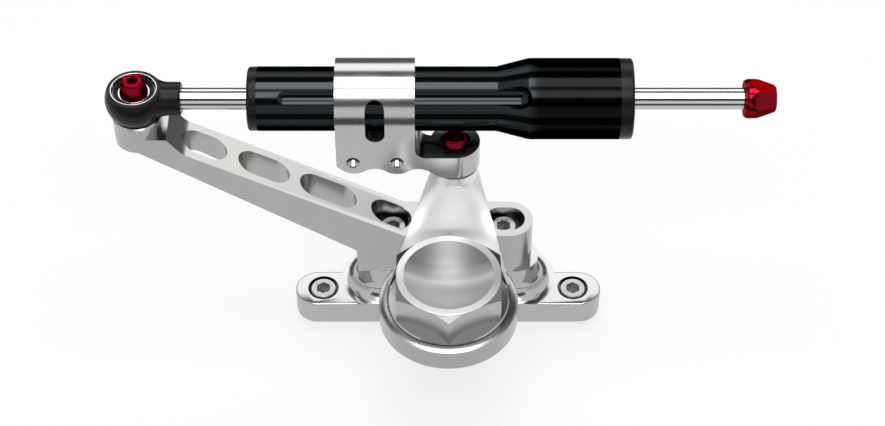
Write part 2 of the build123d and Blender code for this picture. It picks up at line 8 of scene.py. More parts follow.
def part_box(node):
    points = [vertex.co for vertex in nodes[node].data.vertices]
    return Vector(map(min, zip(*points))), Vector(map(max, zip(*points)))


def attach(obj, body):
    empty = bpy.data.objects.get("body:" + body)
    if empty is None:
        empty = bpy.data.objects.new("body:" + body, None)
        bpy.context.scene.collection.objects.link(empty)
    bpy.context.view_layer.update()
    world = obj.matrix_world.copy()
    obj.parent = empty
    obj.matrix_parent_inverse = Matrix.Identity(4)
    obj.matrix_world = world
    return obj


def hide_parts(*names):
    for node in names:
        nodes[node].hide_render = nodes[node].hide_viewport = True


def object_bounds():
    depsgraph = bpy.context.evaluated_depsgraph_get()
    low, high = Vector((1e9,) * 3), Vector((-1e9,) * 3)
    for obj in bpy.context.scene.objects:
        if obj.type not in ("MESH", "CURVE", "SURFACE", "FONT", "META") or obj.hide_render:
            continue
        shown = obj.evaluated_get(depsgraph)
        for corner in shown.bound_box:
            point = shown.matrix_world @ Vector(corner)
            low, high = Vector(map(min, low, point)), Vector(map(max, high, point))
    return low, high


# A steering damper on its stem and frame brackets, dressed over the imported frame.
# Shapes are drawn in millimetres and brought to metres when a piece is finished.
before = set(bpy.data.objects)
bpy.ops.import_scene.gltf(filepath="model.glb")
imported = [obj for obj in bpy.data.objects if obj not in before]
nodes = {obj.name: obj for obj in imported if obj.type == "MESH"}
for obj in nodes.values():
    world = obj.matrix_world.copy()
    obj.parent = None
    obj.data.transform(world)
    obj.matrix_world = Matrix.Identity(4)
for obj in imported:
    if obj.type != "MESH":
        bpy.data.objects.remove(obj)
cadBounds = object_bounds()
mm = 0.001
fine = 0.0005  # points closer than this, in millimetres, are one
print("frame loaded")


def boxOf(node):
    low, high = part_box(node)
    return low / mm, high / mm


def middleOf(node):
    low, high = boxOf(node)
    return (low + high) / 2


nutLow, nutHigh = boxOf("stem_nut")
stemSpot = Vector(((nutLow.x + nutHigh.x) / 2, (nutLow.y + nutHigh.y) / 2, 0))


# Shader fields: a varying value whose sums and products add Math nodes
class Field:
    def __init__(self, tree, socket):
        self.tree = tree
        self.socket = socket

    def joined(self, operation, first, second=0.0):
        return self.tree.node("ShaderNodeMath", {"operation": operation}, {0: first, 1: second})

    def __add__(self, other):
        return self.joined("ADD", self, other)

    def __radd__(self, other):
        return self.joined("ADD", other, self)

    def __sub__(self, other):
        return self.joined("SUBTRACT", self, other)

    def __rsub__(self, other):
        return self.joined("SUBTRACT", other, self)

    def __mul__(self, other):
        return self.joined("MULTIPLY", self, other)

    def __rmul__(self, other):
        return self.joined("MULTIPLY", other, self)

    def __truediv__(self, other):
        return self.joined("DIVIDE", self, other)

    def over(self, level):
        return self.joined("GREATER_THAN", self, level)

    def between(self, low, high):
        # 0 below low, 1 above high, with a smooth step between them
        return self.tree.node(
            "ShaderNodeMapRange", {"interpolation_type": "SMOOTHSTEP"}, {0: self, 1: low, 2: high, 3: 0.0, 4: 1.0}
        )


class Tree:
    def __init__(self, owner):
        owner.use_nodes = True
        self.nodes = owner.node_tree.nodes
        self.links = owner.node_tree.links
        self.nodes.clear()

    def node(self, kind, settings=None, sockets=None, output=0):
        made = self.nodes.new(kind)
        for name, value in (settings or {}).items():
            if name == "stops":
                self.setStops(made.color_ramp, value)
            else:
                setattr(made, name, value)
        for name, value in (sockets or {}).items():
            if isinstance(value, Field):
                self.links.new(value.socket, made.inputs[name])
            else:
                made.inputs[name].default_value = value
        return Field(self, made.outputs[output]) if made.outputs else made

    def setStops(self, ramp, stops):
        while len(ramp.elements) < len(stops):
            ramp.elements.new(0.5)
        for element, (place, colour) in zip(ramp.elements, stops):
            element.position = place
            element.color = colour

    def mixed(self, factor, first, second):
        return self.node("ShaderNodeMix", {"data_type": "RGBA"}, {0: factor, 6: first, 7: second}, output=2)

    def places(self, scale=(1, 1, 1)):
        # object coordinates in millimetres, stretched by scale
        spot = self.node("ShaderNodeTexCoord", output=3)
        size = [factor / mm for factor in scale]
        return self.node("ShaderNodeMapping", {}, {"Vector": spot, "Scale": size})

    def noise(self, scale, stretch=(1, 1, 1), detail=3.0, rough=0.5):
        sockets = {"Vector": self.places(stretch), "Scale": scale, "Detail": detail, "Roughness": rough}
        return self.node("ShaderNodeTexNoise", {}, sockets)


def rgba(colour):
    return (*colour, 1.0)


def fromStem(tree):
    # distance from the steering stem's axis, in millimetres
    flatSpot = tree.places((1, 1, 0))
    centre = (*stemSpot.xy, 0)
    return tree.node("ShaderNodeVectorMath", {"operation": "DISTANCE"}, {0: flatSpot, 1: centre}, output=1)


def metalFinish(name, look):
    # Bare or coated metal: grain along one direction and a little cloudiness in its gloss
    material = bpy.data.materials.new(name)
    tree = Tree(material)
    grain = tree.noise(look["grainScale"], look["grain"], 2.0)
    clouds = tree.noise(look.get("cloudScale", 0.09), detail=4.0)
    roughness = look["roughness"] + (clouds - 0.5) * look["cloud"] + (grain - 0.5) * look["grainGloss"]
    tint = (clouds - 0.5) * look.get("tint", 0.6) + (grain - 0.5) * look.get("grainTint", 0.0) + 0.5
    colour = tree.mixed(tint, rgba(look["dark"]), rgba(look["pale"]))
    relief = grain
    metallic = look.get("metallic", 1.0)
    # painted shade: past endX the colour turns darker, standing in for the highlight missing on the barrel's large end
    if "endX" in look:
        along = tree.node("ShaderNodeSeparateXYZ", {}, {0: tree.places()})
        colour = tree.mixed(along.between(look["endX"], look["endX"] + 6), colour, rgba(look["paintedShadeEndColour"]))
    if "zone" in look:
        # another finish above a level and within a reach of the stem, with lathe marks in or outside it; its colour
        # holds painted light: the post's pale colour is partly a painted highlight, and the nut dish's greys are
        # painted highlight and painted shade
        zone = look["zone"]
        height = tree.node("ShaderNodeSeparateXYZ", {}, {0: tree.places()}, output=2)
        radius = fromStem(tree)
        inside = height.between(zone["level"], zone["level"] + 0.5) * (1 - radius.over(zone["reach"]))
        roughness = roughness + inside * zone["softer"]
        metallic = 1 - inside * zone.get("dull", 0.0)
        if "stops" in zone:
            # painted highlight and painted shade: greys from the front to the back of the zone, lightest across the
            # dish's middle, darker towards its back
            across = (tree.node("ShaderNodeSeparateXYZ", {}, {0: tree.places()}, output=1) - stemSpot.y)
            stops = [(place, (grey, grey, grey, 1)) for place, grey in zone["stops"]]
            inner = tree.node("ShaderNodeValToRGB", {"stops": stops}, {0: across / (2 * zone["reach"]) + 0.5})
        else:
            # the post's pale colour: a duller satin finish, partly a painted highlight
            inner = rgba(zone["colour"])
        colour = tree.mixed(inside, colour, inner)
        if "rim" in zone:
            # painted highlight on the nut's flat rim and, outside it, painted shade on the sloping corners of its crown
            start = zone["crownRadius"]
            fall = zone["crownFall"]
            flatTop = height.over(nutHigh.z - 0.1) * radius.over(zone["reach"])
            slope = (height + radius * fall).over(nutHigh.z + start * fall - 0.15) * radius.over(start + 0.1)
            roughness = roughness + flatTop * 0.14
            colour = tree.mixed(flatTop, colour, rgba((zone["rim"],) * 3))
            colour = tree.mixed(slope, colour, rgba((zone["crown"],) * 3))
        marks = (radius * (math.tau / zone["pitch"])).joined("SINE", radius * (math.tau / zone["pitch"]))
        where = inside if zone["marksInside"] else 1 - inside
        relief = grain * (1 - where * 0.5) + marks * where * zone["depth"]
    bump = tree.node("ShaderNodeBump", {}, {"Strength": look["bump"], "Distance": 0.02 * mm, "Height": relief})
    sockets = {
        "Base Color": colour, "Metallic": metallic, "Roughness": roughness, "Normal": bump,
        "IOR": look.get("ior", 1.5), "Specular IOR Level": look.get("specular", 0.5),
        "Specular Tint": rgba(look.get("gleam", (1, 1, 1))),
    }
    shader = tree.node("ShaderNodeBsdfPrincipled", {}, sockets)
    tree.node("ShaderNodeOutputMaterial", {}, {"Surface": shader})
    return material


even = (1.0, 1.0, 1.0)
finishes = {
    "polished_aluminium": {
        "dark": (0.42, 0.42, 0.425), "pale": (0.49, 0.49, 0.49), "roughness": 0.19, "cloud": 0.06,
        "grainScale": 0.5, "grain": (0.12, 1.0, 1.0), "grainGloss": 0.10, "bump": 0.05, "grainTint": 0.4,
    },
    "milled_aluminium": {
        "dark": (0.36, 0.357, 0.35), "pale": (0.45, 0.445, 0.435), "roughness": 0.22, "cloud": 0.08,
        "grainScale": 0.9, "grain": (0.35, 1.0, 1.0), "grainGloss": 0.10, "bump": 0.08, "grainTint": 0.5,
    },
    "mirror_aluminium": {
        "dark": (0.41, 0.41, 0.415), "pale": (0.48, 0.48, 0.48), "roughness": 0.15, "cloud": 0.05,
        "grainScale": 0.5, "grain": even, "grainGloss": 0.04, "bump": 0.03,
    },
    "satin_aluminium_painted_highlight": {
        "dark": (0.34, 0.34, 0.345), "pale": (0.41, 0.41, 0.41), "roughness": 0.24, "cloud": 0.05,
        "grainScale": 0.6, "grain": even, "grainGloss": 0.04, "bump": 0.06,
        "zone": {
            # the post above the ring: softer and duller, its pale colour partly a painted highlight
            "level": 50.7, "reach": 90.0, "softer": 0.14, "dull": 0.36, "colour": (0.88, 0.88, 0.88), "pitch": 0.55,
            "depth": 0.5, "marksInside": False,
        },
    },
    "turned_aluminium_painted_light": {
        "dark": (0.40, 0.40, 0.40), "pale": (0.48, 0.48, 0.48), "roughness": 0.24, "cloud": 0.05,
        "grainScale": 0.6, "grain": even, "grainGloss": 0.04, "bump": 0.04,
        "zone": {
            "level": 57.0, "reach": 16.5, "softer": 0.20, "pitch": 0.5, "depth": 0.6, "marksInside": True,
            # the dish's greys: a painted highlight across its middle, painted shade towards its back
            "stops": ((0.0, 0.60), (0.38, 0.62), (0.52, 0.90), (0.60, 0.50), (0.72, 0.23), (0.85, 0.18), (1.0, 0.22)),
            # a painted highlight on the nut's flat rim, painted shade on its crown's sloping corners
            "rim": 0.88, "crown": 0.20, "crownRadius": 19.0, "crownFall": 0.577,
        },
    },
    "stainless_steel": {
        "dark": (0.34, 0.335, 0.33), "pale": (0.44, 0.435, 0.43), "roughness": 0.26, "cloud": 0.08,
        "grainScale": 1.2, "grain": even, "grainGloss": 0.05, "bump": 0.04,
    },
    "dull_steel": {
        "dark": (0.15, 0.148, 0.146), "pale": (0.24, 0.237, 0.234), "roughness": 0.42, "cloud": 0.08,
        "grainScale": 1.2, "grain": even, "grainGloss": 0.06, "bump": 0.06,
    },
    "bearing_steel": {
        "dark": (0.55, 0.54, 0.54), "pale": (0.68, 0.67, 0.67), "roughness": 0.10, "cloud": 0.05,
        "grainScale": 1.0, "grain": even, "grainGloss": 0.03, "bump": 0.02,
    },
    "black_steel": {
        "dark": (0.006, 0.006, 0.006), "pale": (0.012, 0.012, 0.012), "roughness": 0.30, "cloud": 0.10,
        "grainScale": 1.0, "grain": even, "grainGloss": 0.05, "bump": 0.04, "metallic": 0.0, "specular": 0.12,
    },
    "spring_steel": {
        "dark": (0.16, 0.16, 0.17), "pale": (0.26, 0.26, 0.27), "roughness": 0.34, "cloud": 0.10,
        "grainScale": 1.0, "grain": even, "grainGloss": 0.05, "bump": 0.05,
    },
    "red_anodised": {
        "dark": (0.15, 0.003, 0.011), "pale": (0.23, 0.006, 0.018), "roughness": 0.17, "cloud": 0.06,
        "grainScale": 0.8, "grain": even, "grainGloss": 0.05, "bump": 0.04, "gleam": (0.42, 0.02, 0.04),
    },
    "black_satin": {
        "dark": (0.003, 0.003, 0.0033), "pale": (0.008, 0.008, 0.0085), "roughness": 0.30, "cloud": 0.10,
        "grainScale": 1.6, "grain": even, "grainGloss": 0.14, "bump": 0.12, "metallic": 0.0, "specular": 0.16,
    },
    "black_gloss_anodised": {
        "dark": (0.019, 0.0215, 0.023), "pale": (0.023, 0.026, 0.028), "roughness": 0.11, "cloud": 0.04,
        "grainScale": 1.0, "grain": (0.3, 1.0, 1.0), "grainGloss": 0.03, "bump": 0.02,
        # painted shade: the large end past endX is darkened
        "gleam": (0.10, 0.10, 0.10), "endX": 27.0, "paintedShadeEndColour": (0.0052, 0.0055, 0.0058),
    },
    "hard_chrome": {
        "dark": (0.46, 0.46, 0.465), "pale": (0.53, 0.53, 0.535), "roughness": 0.06, "cloud": 0.02,
        "grainScale": 1.0, "grain": (0.02, 1.0, 1.0), "grainGloss": 0.02, "bump": 0.0,
    },
    "inner_aluminium": {
        "dark": (0.42, 0.42, 0.43), "pale": (0.50, 0.50, 0.50), "roughness": 0.38, "cloud": 0.08,
        "grainScale": 1.0, "grain": (2.0, 0.4, 0.4), "grainGloss": 0.08, "bump": 0.10,
    },
    "slide_plastic": {
        "dark": (0.26, 0.15, 0.06), "pale": (0.36, 0.23, 0.10), "roughness": 0.55, "cloud": 0.10,
        "grainScale": 1.0, "grain": even, "grainGloss": 0.05, "bump": 0.08, "metallic": 0.0,
    },
    "seal_rubber": {
        "dark": (0.012, 0.012, 0.012), "pale": (0.028, 0.028, 0.028), "roughness": 0.60, "cloud": 0.12,
        "grainScale": 1.5, "grain": even, "grainGloss": 0.08, "bump": 0.15, "metallic": 0.0,
    },
    "bush_bronze": {
        "dark": (0.36, 0.24, 0.09), "pale": (0.52, 0.37, 0.16), "roughness": 0.42, "cloud": 0.10,
        "grainScale": 1.5, "grain": even, "grainGloss": 0.08, "bump": 0.10,
    },
}
materials = {name: metalFinish(name, look) for name, look in finishes.items()}
print("materials made", len(materials))


# Shaping helpers
directions = {"X": Vector((1, 0, 0)), "Y": Vector((0, 1, 0)), "Z": Vector((0, 0, 1))}
outwards = {"X": Vector((0, 0, 1)), "Y": Vector((0, 0, 1)), "Z": Vector((1, 0, 0))}


def roundCorner(bm, vert, radius, segments=10):
    # One corner of a wire or flat face becomes an arc that touches both its edges
    first, second = [edge.other_vert(vert).co - vert.co for edge in vert.link_edges]
    reach = radius / math.tan(first.angle(second) / 2)
    bmesh.ops.bevel(
        bm, geom=[vert], offset=reach, offset_type="OFFSET", segments=segments, profile=0.5,
        affect="VERTICES", clamp_overlap=False, material=-1,
    )


def flat(corners, plane, level, rounds=None):
    # A flat face through the corners, upright in XZ or level in XY
    bm = bmesh.new()
    spots = [(a, b, level) if plane == "XY" else (a, level, b) for a, b in corners]
    verts = [bm.verts.new(spot) for spot in spots]
    bm.faces.new(verts)
    for number, radius in (rounds or {}).items():
        roundCorner(bm, verts[number], radius)
    return bm


def drawnOut(bm, way):
    # The flat face becomes a solid along a vector
    made = bmesh.ops.extrude_face_region(bm, geom=bm.faces[:])
    moved = [item for item in made["geom"] if isinstance(item, bmesh.types.BMVert)]
    bmesh.ops.translate(bm, verts=moved, vec=way)
    bmesh.ops.recalc_face_normals(bm, faces=bm.faces[:])
    return bm


def stadium(length, width, x, y, low, high, segments=20):
    # An upright slot shape, long along X
    half = Vector((length / 2, width / 2))
    corners = [(x - half.x, y - half.y), (x + half.x, y - half.y), (x + half.x, y + half.y), (x - half.x, y + half.y)]
    bm = flat(corners, "XY", low)
    for vert in bm.verts[:]:
        roundCorner(bm, vert, width / 2 - fine, segments)
    bmesh.ops.remove_doubles(bm, verts=bm.verts[:], dist=fine * 4)
    return drawnOut(bm, Vector((0, 0, high - low)))


def turned(points, centre, axis="Z", steps=96, rounds=None, closed=False):
    # A profile of (along, outward) points turned fully about the axis through centre
    bm = bmesh.new()
    along = directions[axis]
    verts = [bm.verts.new(centre + along * a + outwards[axis] * r) for a, r in points]
    pairs = list(zip(verts, verts[1:]))
    if closed:
        pairs.append((verts[-1], verts[0]))
    for pair in pairs:
        bm.edges.new(pair)
    for number, radius in (rounds or {}).items():
        roundCorner(bm, verts[number], radius, 6)
    profile = bm.verts[:] + bm.edges[:]
    bmesh.ops.spin(bm, geom=profile, cent=centre, axis=along, angle=math.tau, steps=steps, use_merge=True)
    bmesh.ops.remove_doubles(bm, verts=bm.verts[:], dist=fine)
    bmesh.ops.recalc_face_normals(bm, faces=bm.faces[:])
    return bm


def rod(radius, low, high, centre, axis="Z", steps=64):
    return turned([(low, 0), (low, radius), (high, radius), (high, 0)], centre, axis, steps)


def arc(centre, radius, start, end, steps=16):
    # Points on a circle between two angles in degrees
    angles = [math.radians(start + (end - start) * step / steps) for step in range(steps + 1)]
    return [(centre[0] + radius * math.cos(a), centre[1] + radius * math.sin(a)) for a in angles]


def asObject(bm):
    mesh = bpy.data.meshes.new("shape")
    bm.to_mesh(mesh)
    bm.free()
    made = bpy.data.objects.new("shape", mesh)
    bpy.context.scene.collection.objects.link(made)
    return made


def combined(bm, changes):
    # Adds, cuts or clips the shape by others, in order, with exact booleans
    body = asObject(bm)
    tools = [body]
    for operation, other in changes:
        tool = asObject(other)
        tools.append(tool)
        step = body.modifiers.new(operation, "BOOLEAN")
        step.operation = operation
        step.solver = "EXACT"
        step.object = tool
    bpy.context.view_layer.update()
    depsgraph = bpy.context.evaluated_depsgraph_get()
    result = bmesh.new()
    result.from_mesh(body.evaluated_get(depsgraph).to_mesh())
    for tool in tools:
        mesh = tool.data
        bpy.data.objects.remove(tool)
        bpy.data.meshes.remove(mesh)
    bmesh.ops.remove_doubles(result, verts=result.verts[:], dist=fine)
    return result


def cut(bm, *tools):
    return combined(bm, [("DIFFERENCE", tool) for tool in tools])


def finished(bm, name, finish, body, stands=(), edge=0.2, smooth=38):
    # Brings the shape to metres and gives it its finish, soft edges, body and node
    bmesh.ops.scale(bm, vec=(mm, mm, mm), verts=bm.verts[:])
    mesh = bpy.data.meshes.new(name)
    bm.to_mesh(mesh)
    bm.free()
    mesh.shade_smooth()
    mesh.set_sharp_from_angle(angle=math.radians(smooth))
    mesh.materials.append(materials[finish])
    piece = bpy.data.objects.new(name, mesh)
    bpy.context.scene.collection.objects.link(piece)
    if edge:
        soften = piece.modifiers.new("soft edges", "BEVEL")
        soften.width = edge * mm
        soften.segments = 2
        soften.limit_method = "ANGLE"
        soften.angle_limit = math.radians(smooth)
        soften.harden_normals = True
    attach(piece, body)
    if stands:
        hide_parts(*stands)
    return piece


# The damper's axis, from the rod's box
rodLow, rodHigh = boxOf("damper_rod")
axisSpot = Vector((0, (rodLow.y + rodHigh.y) / 2, (rodLow.z + rodHigh.z) / 2))
rodRadius = (rodHigh.z - rodLow.z) / 2


# Damper rod
def buildRod():
    settings = {"chamfer": 0.5}
    chamfer = settings["chamfer"]
    points = [
        (rodLow.x, 0), (rodLow.x, rodRadius - chamfer), (rodLow.x + chamfer, rodRadius),
        (rodHigh.x - chamfer, rodRadius), (rodHigh.x, rodRadius - chamfer), (rodHigh.x, 0),
    ]
    finished(turned(points, axisSpot, "X"), "damperRod", "hard_chrome", "rod_side", ["damper_rod"], 0)


# Barrel with its cone and three ball-nosed flutes
def buildBarrel():
    settings = {
        "slimRadius": 11.7, "coneStart": 85.9, "coneLength": 11.9, "bore": 9.3, "boreStep": 13.9, "stepLength": 3.5,
        "wall": 2.55, "cornerRound": 6.0, "fluteStart": 8.15, "fluteWidth": 5.0, "cutterRadius": 4.7, "fluteEnd": 0.6, "flutes": 3, "turn": 45,
    }
    low, high = boxOf("barrel")
    slim = settings["slimRadius"]
    large = (high.z - low.z) / 2
    coneX = low.x + settings["coneStart"]
    wideX = coneX + settings["coneLength"]
    bore = settings["bore"]
    wide = large - settings["wall"]
    step = coneX + settings["boreStep"]
    points = [
        (low.x, bore), (low.x, slim), (coneX, slim), (wideX, large), (high.x, large), (high.x, wide),
        (step + settings["stepLength"], wide), (step, bore),
    ]
    rounds = {2: settings["cornerRound"], 3: settings["cornerRound"]}
    body = turned(points, axisSpot, "X", 128, rounds, closed=True)
    half = settings["fluteWidth"] / 2
    cutter = settings["cutterRadius"]
    reach = math.sqrt(slim**2 - half**2) + math.sqrt(cutter**2 - half**2)
    first = low.x + settings["fluteStart"] + half
    last = wideX + settings["fluteEnd"] - cutter
    nose = arc((first, 0), cutter, 180, 90, 10) + arc((last, 0), cutter, 90, 0, 10)
    tools = []
    for number in range(settings["flutes"]):
        tool = turned(nose, axisSpot + Vector((0, -reach, 0)), "X", 48)
        lean = Matrix.Rotation(math.radians(number * 360 / settings["flutes"] - settings["turn"]), 3, "X")
        bmesh.ops.rotate(tool, cent=axisSpot, matrix=lean, verts=tool.verts[:])
        tools.append(tool)
    finished(cut(body, *tools), "barrel", "black_gloss_anodised", "body_side", ["barrel"], 0.25, 30)


# Screwed end caps, with a wiper at each rod opening
def buildCaps():
    settings = {"round": 1.0, "flange": {"left_cap": 3.5, "right_cap": 5.3}, "recess": 0.35, "recessRadius": 7.4}
    for node, side in (("left_cap", -1), ("right_cap", 1)):
        low, high = boxOf(node)
        radius = (high.z - low.z) / 2
        face, inner = (low.x, high.x) if side < 0 else (high.x, low.x)
        seat = face - side * settings["flange"][node]
        spigot = radius - 2.45
        points = [
            (inner, rodRadius + 1.6), (inner, spigot), (seat, spigot), (seat, radius), (face, radius),
            (face, settings["recessRadius"]), (face - side * settings["recess"], settings["recessRadius"] - 0.4),
            (face - side * settings["recess"], rodRadius + 1.6),
        ]
        cap = turned(points, axisSpot, "X", 96, {4: settings["round"]}, closed=True)
        finished(cap, "cap" + ("Left" if side < 0 else "Right"), "black_satin", "body_side", [node], 0.15)


def buildWipers():
    settings = {"lip": 0.5}
    low, high = boxOf("rod_wipers")
    outer = (high.z - low.z) / 2
    thickness = 1.4
    for name, start in (("wiperLeft", low.x), ("wiperRight", high.x - thickness)):
        side = -1 if start == low.x else 1
        face = start if side < 0 else start + thickness
        back = start + thickness if side < 0 else start
        points = [
            (back, rodRadius + 0.05), (back, outer), (face, outer), (face, rodRadius + settings["lip"] + 0.5),
            (face - side * settings["lip"], rodRadius + 0.05),
        ]
        ring = turned(points, axisSpot, "X", 64, closed=True)
        finished(ring, name, "seal_rubber", "body_side", ["rod_wipers"], 0.1)


# Knob at the rod's end: a round collar, then six flats leaning in
def buildKnob():
    settings = {
        "collar": 5.2, "chamfer": 1.1, "endRadius": 5.0, "flatStart": 1.5, "flatEnd": 4.3, "tilt": 55.0,
    }
    low, high = boxOf("adjuster_knob")
    radius = (high.z - low.z) / 2
    chamfer = settings["chamfer"]
    end = settings["endRadius"]
    points = [
        (low.x, 0), (low.x, radius - chamfer / 2), (low.x + chamfer, radius), (low.x + settings["collar"], radius),
        (high.x - chamfer / 2, end), (high.x, end - chamfer / 2), (high.x, 0),
    ]
    knob = turned(points, axisSpot, "X", 96)
    share = 1 / math.cos(math.pi / 6)
    flats = bmesh.new()
    rings = []
    for x, flatRadius in ((low.x + settings["flatStart"], radius), (high.x, settings["flatEnd"])):
        made = bmesh.ops.create_circle(flats, cap_ends=False, segments=6, radius=flatRadius * share)
        turn = Matrix.Rotation(math.radians(90), 4, "Y")
        place = Matrix.Translation(axisSpot + Vector((x, 0, 0)))
        lean = Matrix.Rotation(math.radians(settings["tilt"]), 4, "X")
        bmesh.ops.transform(flats, matrix=place @ lean @ turn, verts=made["verts"])
        rings.append(made["verts"])
    stretch = (high.x - low.x - settings["flatStart"]) / (radius - settings["flatEnd"])
    back = bmesh.ops.create_circle(
        flats, cap_ends=False, segments=6, radius=(radius + 2 * settings["flatStart"] / stretch) * share
    )
    bmesh.ops.transform(
        flats, matrix=Matrix.Translation(axisSpot + Vector((low.x - settings["flatStart"], 0, 0))) @ lean @ turn,
        verts=back["verts"],
    )
    rings = [back["verts"]] + rings
    for first, second in zip(rings, rings[1:]):
        edges = [e for e in flats.edges if all(v in first for v in e.verts) or all(v in second for v in e.verts)]
        bmesh.ops.bridge_loops(flats, edges=edges)
    bmesh.ops.holes_fill(flats, edges=flats.edges[:])
    bmesh.ops.recalc_face_normals(flats, faces=flats.faces[:])
    finished(combined(knob, [("INTERSECT", flats)]), "adjusterKnob", "red_anodised", "adjuster", ["adjuster_knob"], 0.55, 18)


# Rod end: a round eye that narrows to its shank, with a bore for the bearing
eyeLow, eyeHigh = boxOf("rod_end")
eyeRadius = (eyeHigh.y - eyeLow.y) / 2
eyeSpot = Vector((eyeLow.x + eyeRadius, axisSpot.y, axisSpot.z))


def buildRodEnd():
    settings = {
        "rise": 4.8, "drop": 6.6, "neckStart": 7.3, "neckRadius": 7.9, "neckFoot": 9.4, "neckRound": 7.0,
        "shank": 6.15, "chamfer": 0.5, "boreRadius": 8.3, "pocket": 2.6, "lowBore": 7.1,
    }
    rise = settings["rise"]
    drop = settings["drop"]
    end = eyeHigh.x - eyeSpot.x
    shank = settings["shank"]
    chamfer = settings["chamfer"]
    neck = [
        (0, 0), (0, settings["neckRadius"]), (settings["neckStart"], settings["neckRadius"]),
        (settings["neckFoot"], shank), (end - chamfer, shank), (end, shank - chamfer), (end, 0),
    ]
    body = turned(neck, eyeSpot, "X", 96, {3: settings["neckRound"]})
    low = math.degrees(math.asin(drop / eyeRadius))
    top = math.degrees(math.asin(rise / eyeRadius))
    ball = [(z, r) for r, z in arc((0, 0), eyeRadius, -low, top, 24)]
    eye = turned([(-drop, 0)] + ball + [(rise, 0)], eyeSpot, steps=128)
    changes = [("UNION", eye)]
    for radius, start, finish in (
        (ball[-1][1] - 0.01, rise, eyeRadius + 1), (ball[0][1] - 0.01, -eyeRadius - 1, -drop),
        (settings["boreRadius"], -settings["pocket"], eyeRadius), (settings["lowBore"], -eyeRadius, 0),
    ):
        changes.append(("DIFFERENCE", rod(radius, start, finish, eyeSpot, steps=96)))
    finished(combined(body, changes), "rodEnd", "black_satin", "rod_side", ["rod_end"], 0.45, 40)


def buildRodEndBearing():
    settings = {"lipTop": 4.9, "lipLow": 4.2, "lipWidth": 0.5, "ballPlay": 0.04}
    low, high = boxOf("rod_end_race")
    half = (high.z - low.z) / 2
    outer = (high.x - low.x) / 2
    ballLow, ballHigh = boxOf("rod_end_ball")
    ballRadius = (ballHigh.x - ballLow.x) / 2
    ballHalf = (ballHigh.z - ballLow.z) / 2
    cup = ballRadius + settings["ballPlay"]
    slope = math.degrees(math.asin(half / cup))
    points = [(a, r) for r, a in arc((0, 0), cup, -slope, slope, 12)] + [(half, outer), (-half, outer)]
    finished(turned(points, eyeSpot, closed=True), "rodEndRace", "black_steel", "rod_side", ["rod_end_race"], 0.1)
    width = settings["lipWidth"]
    lip = [
        (settings["lipLow"], outer - width), (settings["lipLow"], outer + 0.15), (settings["lipTop"], outer + 0.15),
        (settings["lipTop"], outer - width * 0.4),
    ]
    finished(turned(lip, eyeSpot, closed=True), "rodEndLip", "bearing_steel", "rod_side", (), 0.08)
    buildBall(eyeSpot, ballRadius, ballHalf, "rodEndBall", "frame_side", "rod_end_ball", 4.05)


def buildBall(spot, radius, half, name, body, node, bore):
    slope = math.degrees(math.asin(half / radius))
    points = [(a, r) for r, a in arc((0, 0), radius, -slope, slope, 16)] + [(half, bore), (-half, bore)]
    finished(turned(points, spot, closed=True), name, "bearing_steel", body, [node], 0.1)


# Screws: socket heads, and the two red bolts with conical heads
def hexTool(flats, low, high, spot):
    tool = bmesh.new()
    made = bmesh.ops.create_circle(tool, cap_ends=True, segments=6, radius=flats / 2 / math.cos(math.pi / 6))
    bmesh.ops.translate(tool, verts=made["verts"], vec=spot + Vector((0, 0, low)))
    return drawnOut(tool, Vector((0, 0, high - low)))


def socketScrew(low, high, headHeight, headRadius, shankRadius, flats):
    # An upright screw with its head at the top, centred on its box
    spot = Vector(((low.x + high.x) / 2, (low.y + high.y) / 2, 0))
    seat = high.z - headHeight
    dome = headHeight * 0.06
    points = [
        (low.z, 0), (low.z, shankRadius - 0.4), (low.z + 0.4, shankRadius), (seat, shankRadius), (seat, headRadius),
        (high.z - dome, headRadius), (high.z, headRadius - dome), (high.z, 0),
    ]
    screw = turned(points, spot, "Z", 64)
    return cut(screw, hexTool(flats, high.z - headHeight * 0.55, high.z + 1, spot))


def buildScrews():
    settings = {"headHeight": 6.0, "headRadius": 5.0, "shankRadius": 3.0, "flats": 5.0}
    for node, name in (("bracket_screws", "frameScrew"), ("arm_screws", "armScrew")):
        low, high = boxOf(node)
        head = settings["headRadius"]
        for number, x in enumerate((low.x + head, high.x - head)):
            spotLow = Vector((x - head, low.y, low.z))
            spotHigh = Vector((x + head, high.y, high.z))
            screw = socketScrew(
                spotLow, spotHigh, settings["headHeight"], head, settings["shankRadius"], settings["flats"]
            )
            finished(screw, name + "LR"[number], "stainless_steel", "frame_side", [node], 0.12)


def buildPinchScrews():
    settings = {"headHeight": 5.0, "headRadius": 4.25, "shankRadius": 2.5, "flats": 4.0}
    low, high = boxOf("clamp_screws")
    head = settings["headRadius"]
    middle = (low.z + high.z) / 2
    for number, x in enumerate((low.x + head, high.x - head)):
        spotLow = Vector((x - head, middle - head, low.y))
        spotHigh = Vector((x + head, middle + head, high.y))
        screw = socketScrew(spotLow, spotHigh, settings["headHeight"], head, settings["shankRadius"], settings["flats"])
        # the head end turns from upright to face along Y
        cent = Vector((x, middle, 0))
        bmesh.ops.translate(screw, verts=screw.verts[:], vec=-cent)
        bmesh.ops.rotate(screw, cent=(0, 0, 0), matrix=Matrix.Rotation(math.radians(-90), 3, "X"), verts=screw.verts[:])
        bmesh.ops.translate(screw, verts=screw.verts[:], vec=(x, 0, middle))
        finished(screw, "pinchScrew" + "LR"[number], "dull_steel", "body_side", ["clamp_screws"], 0.1)


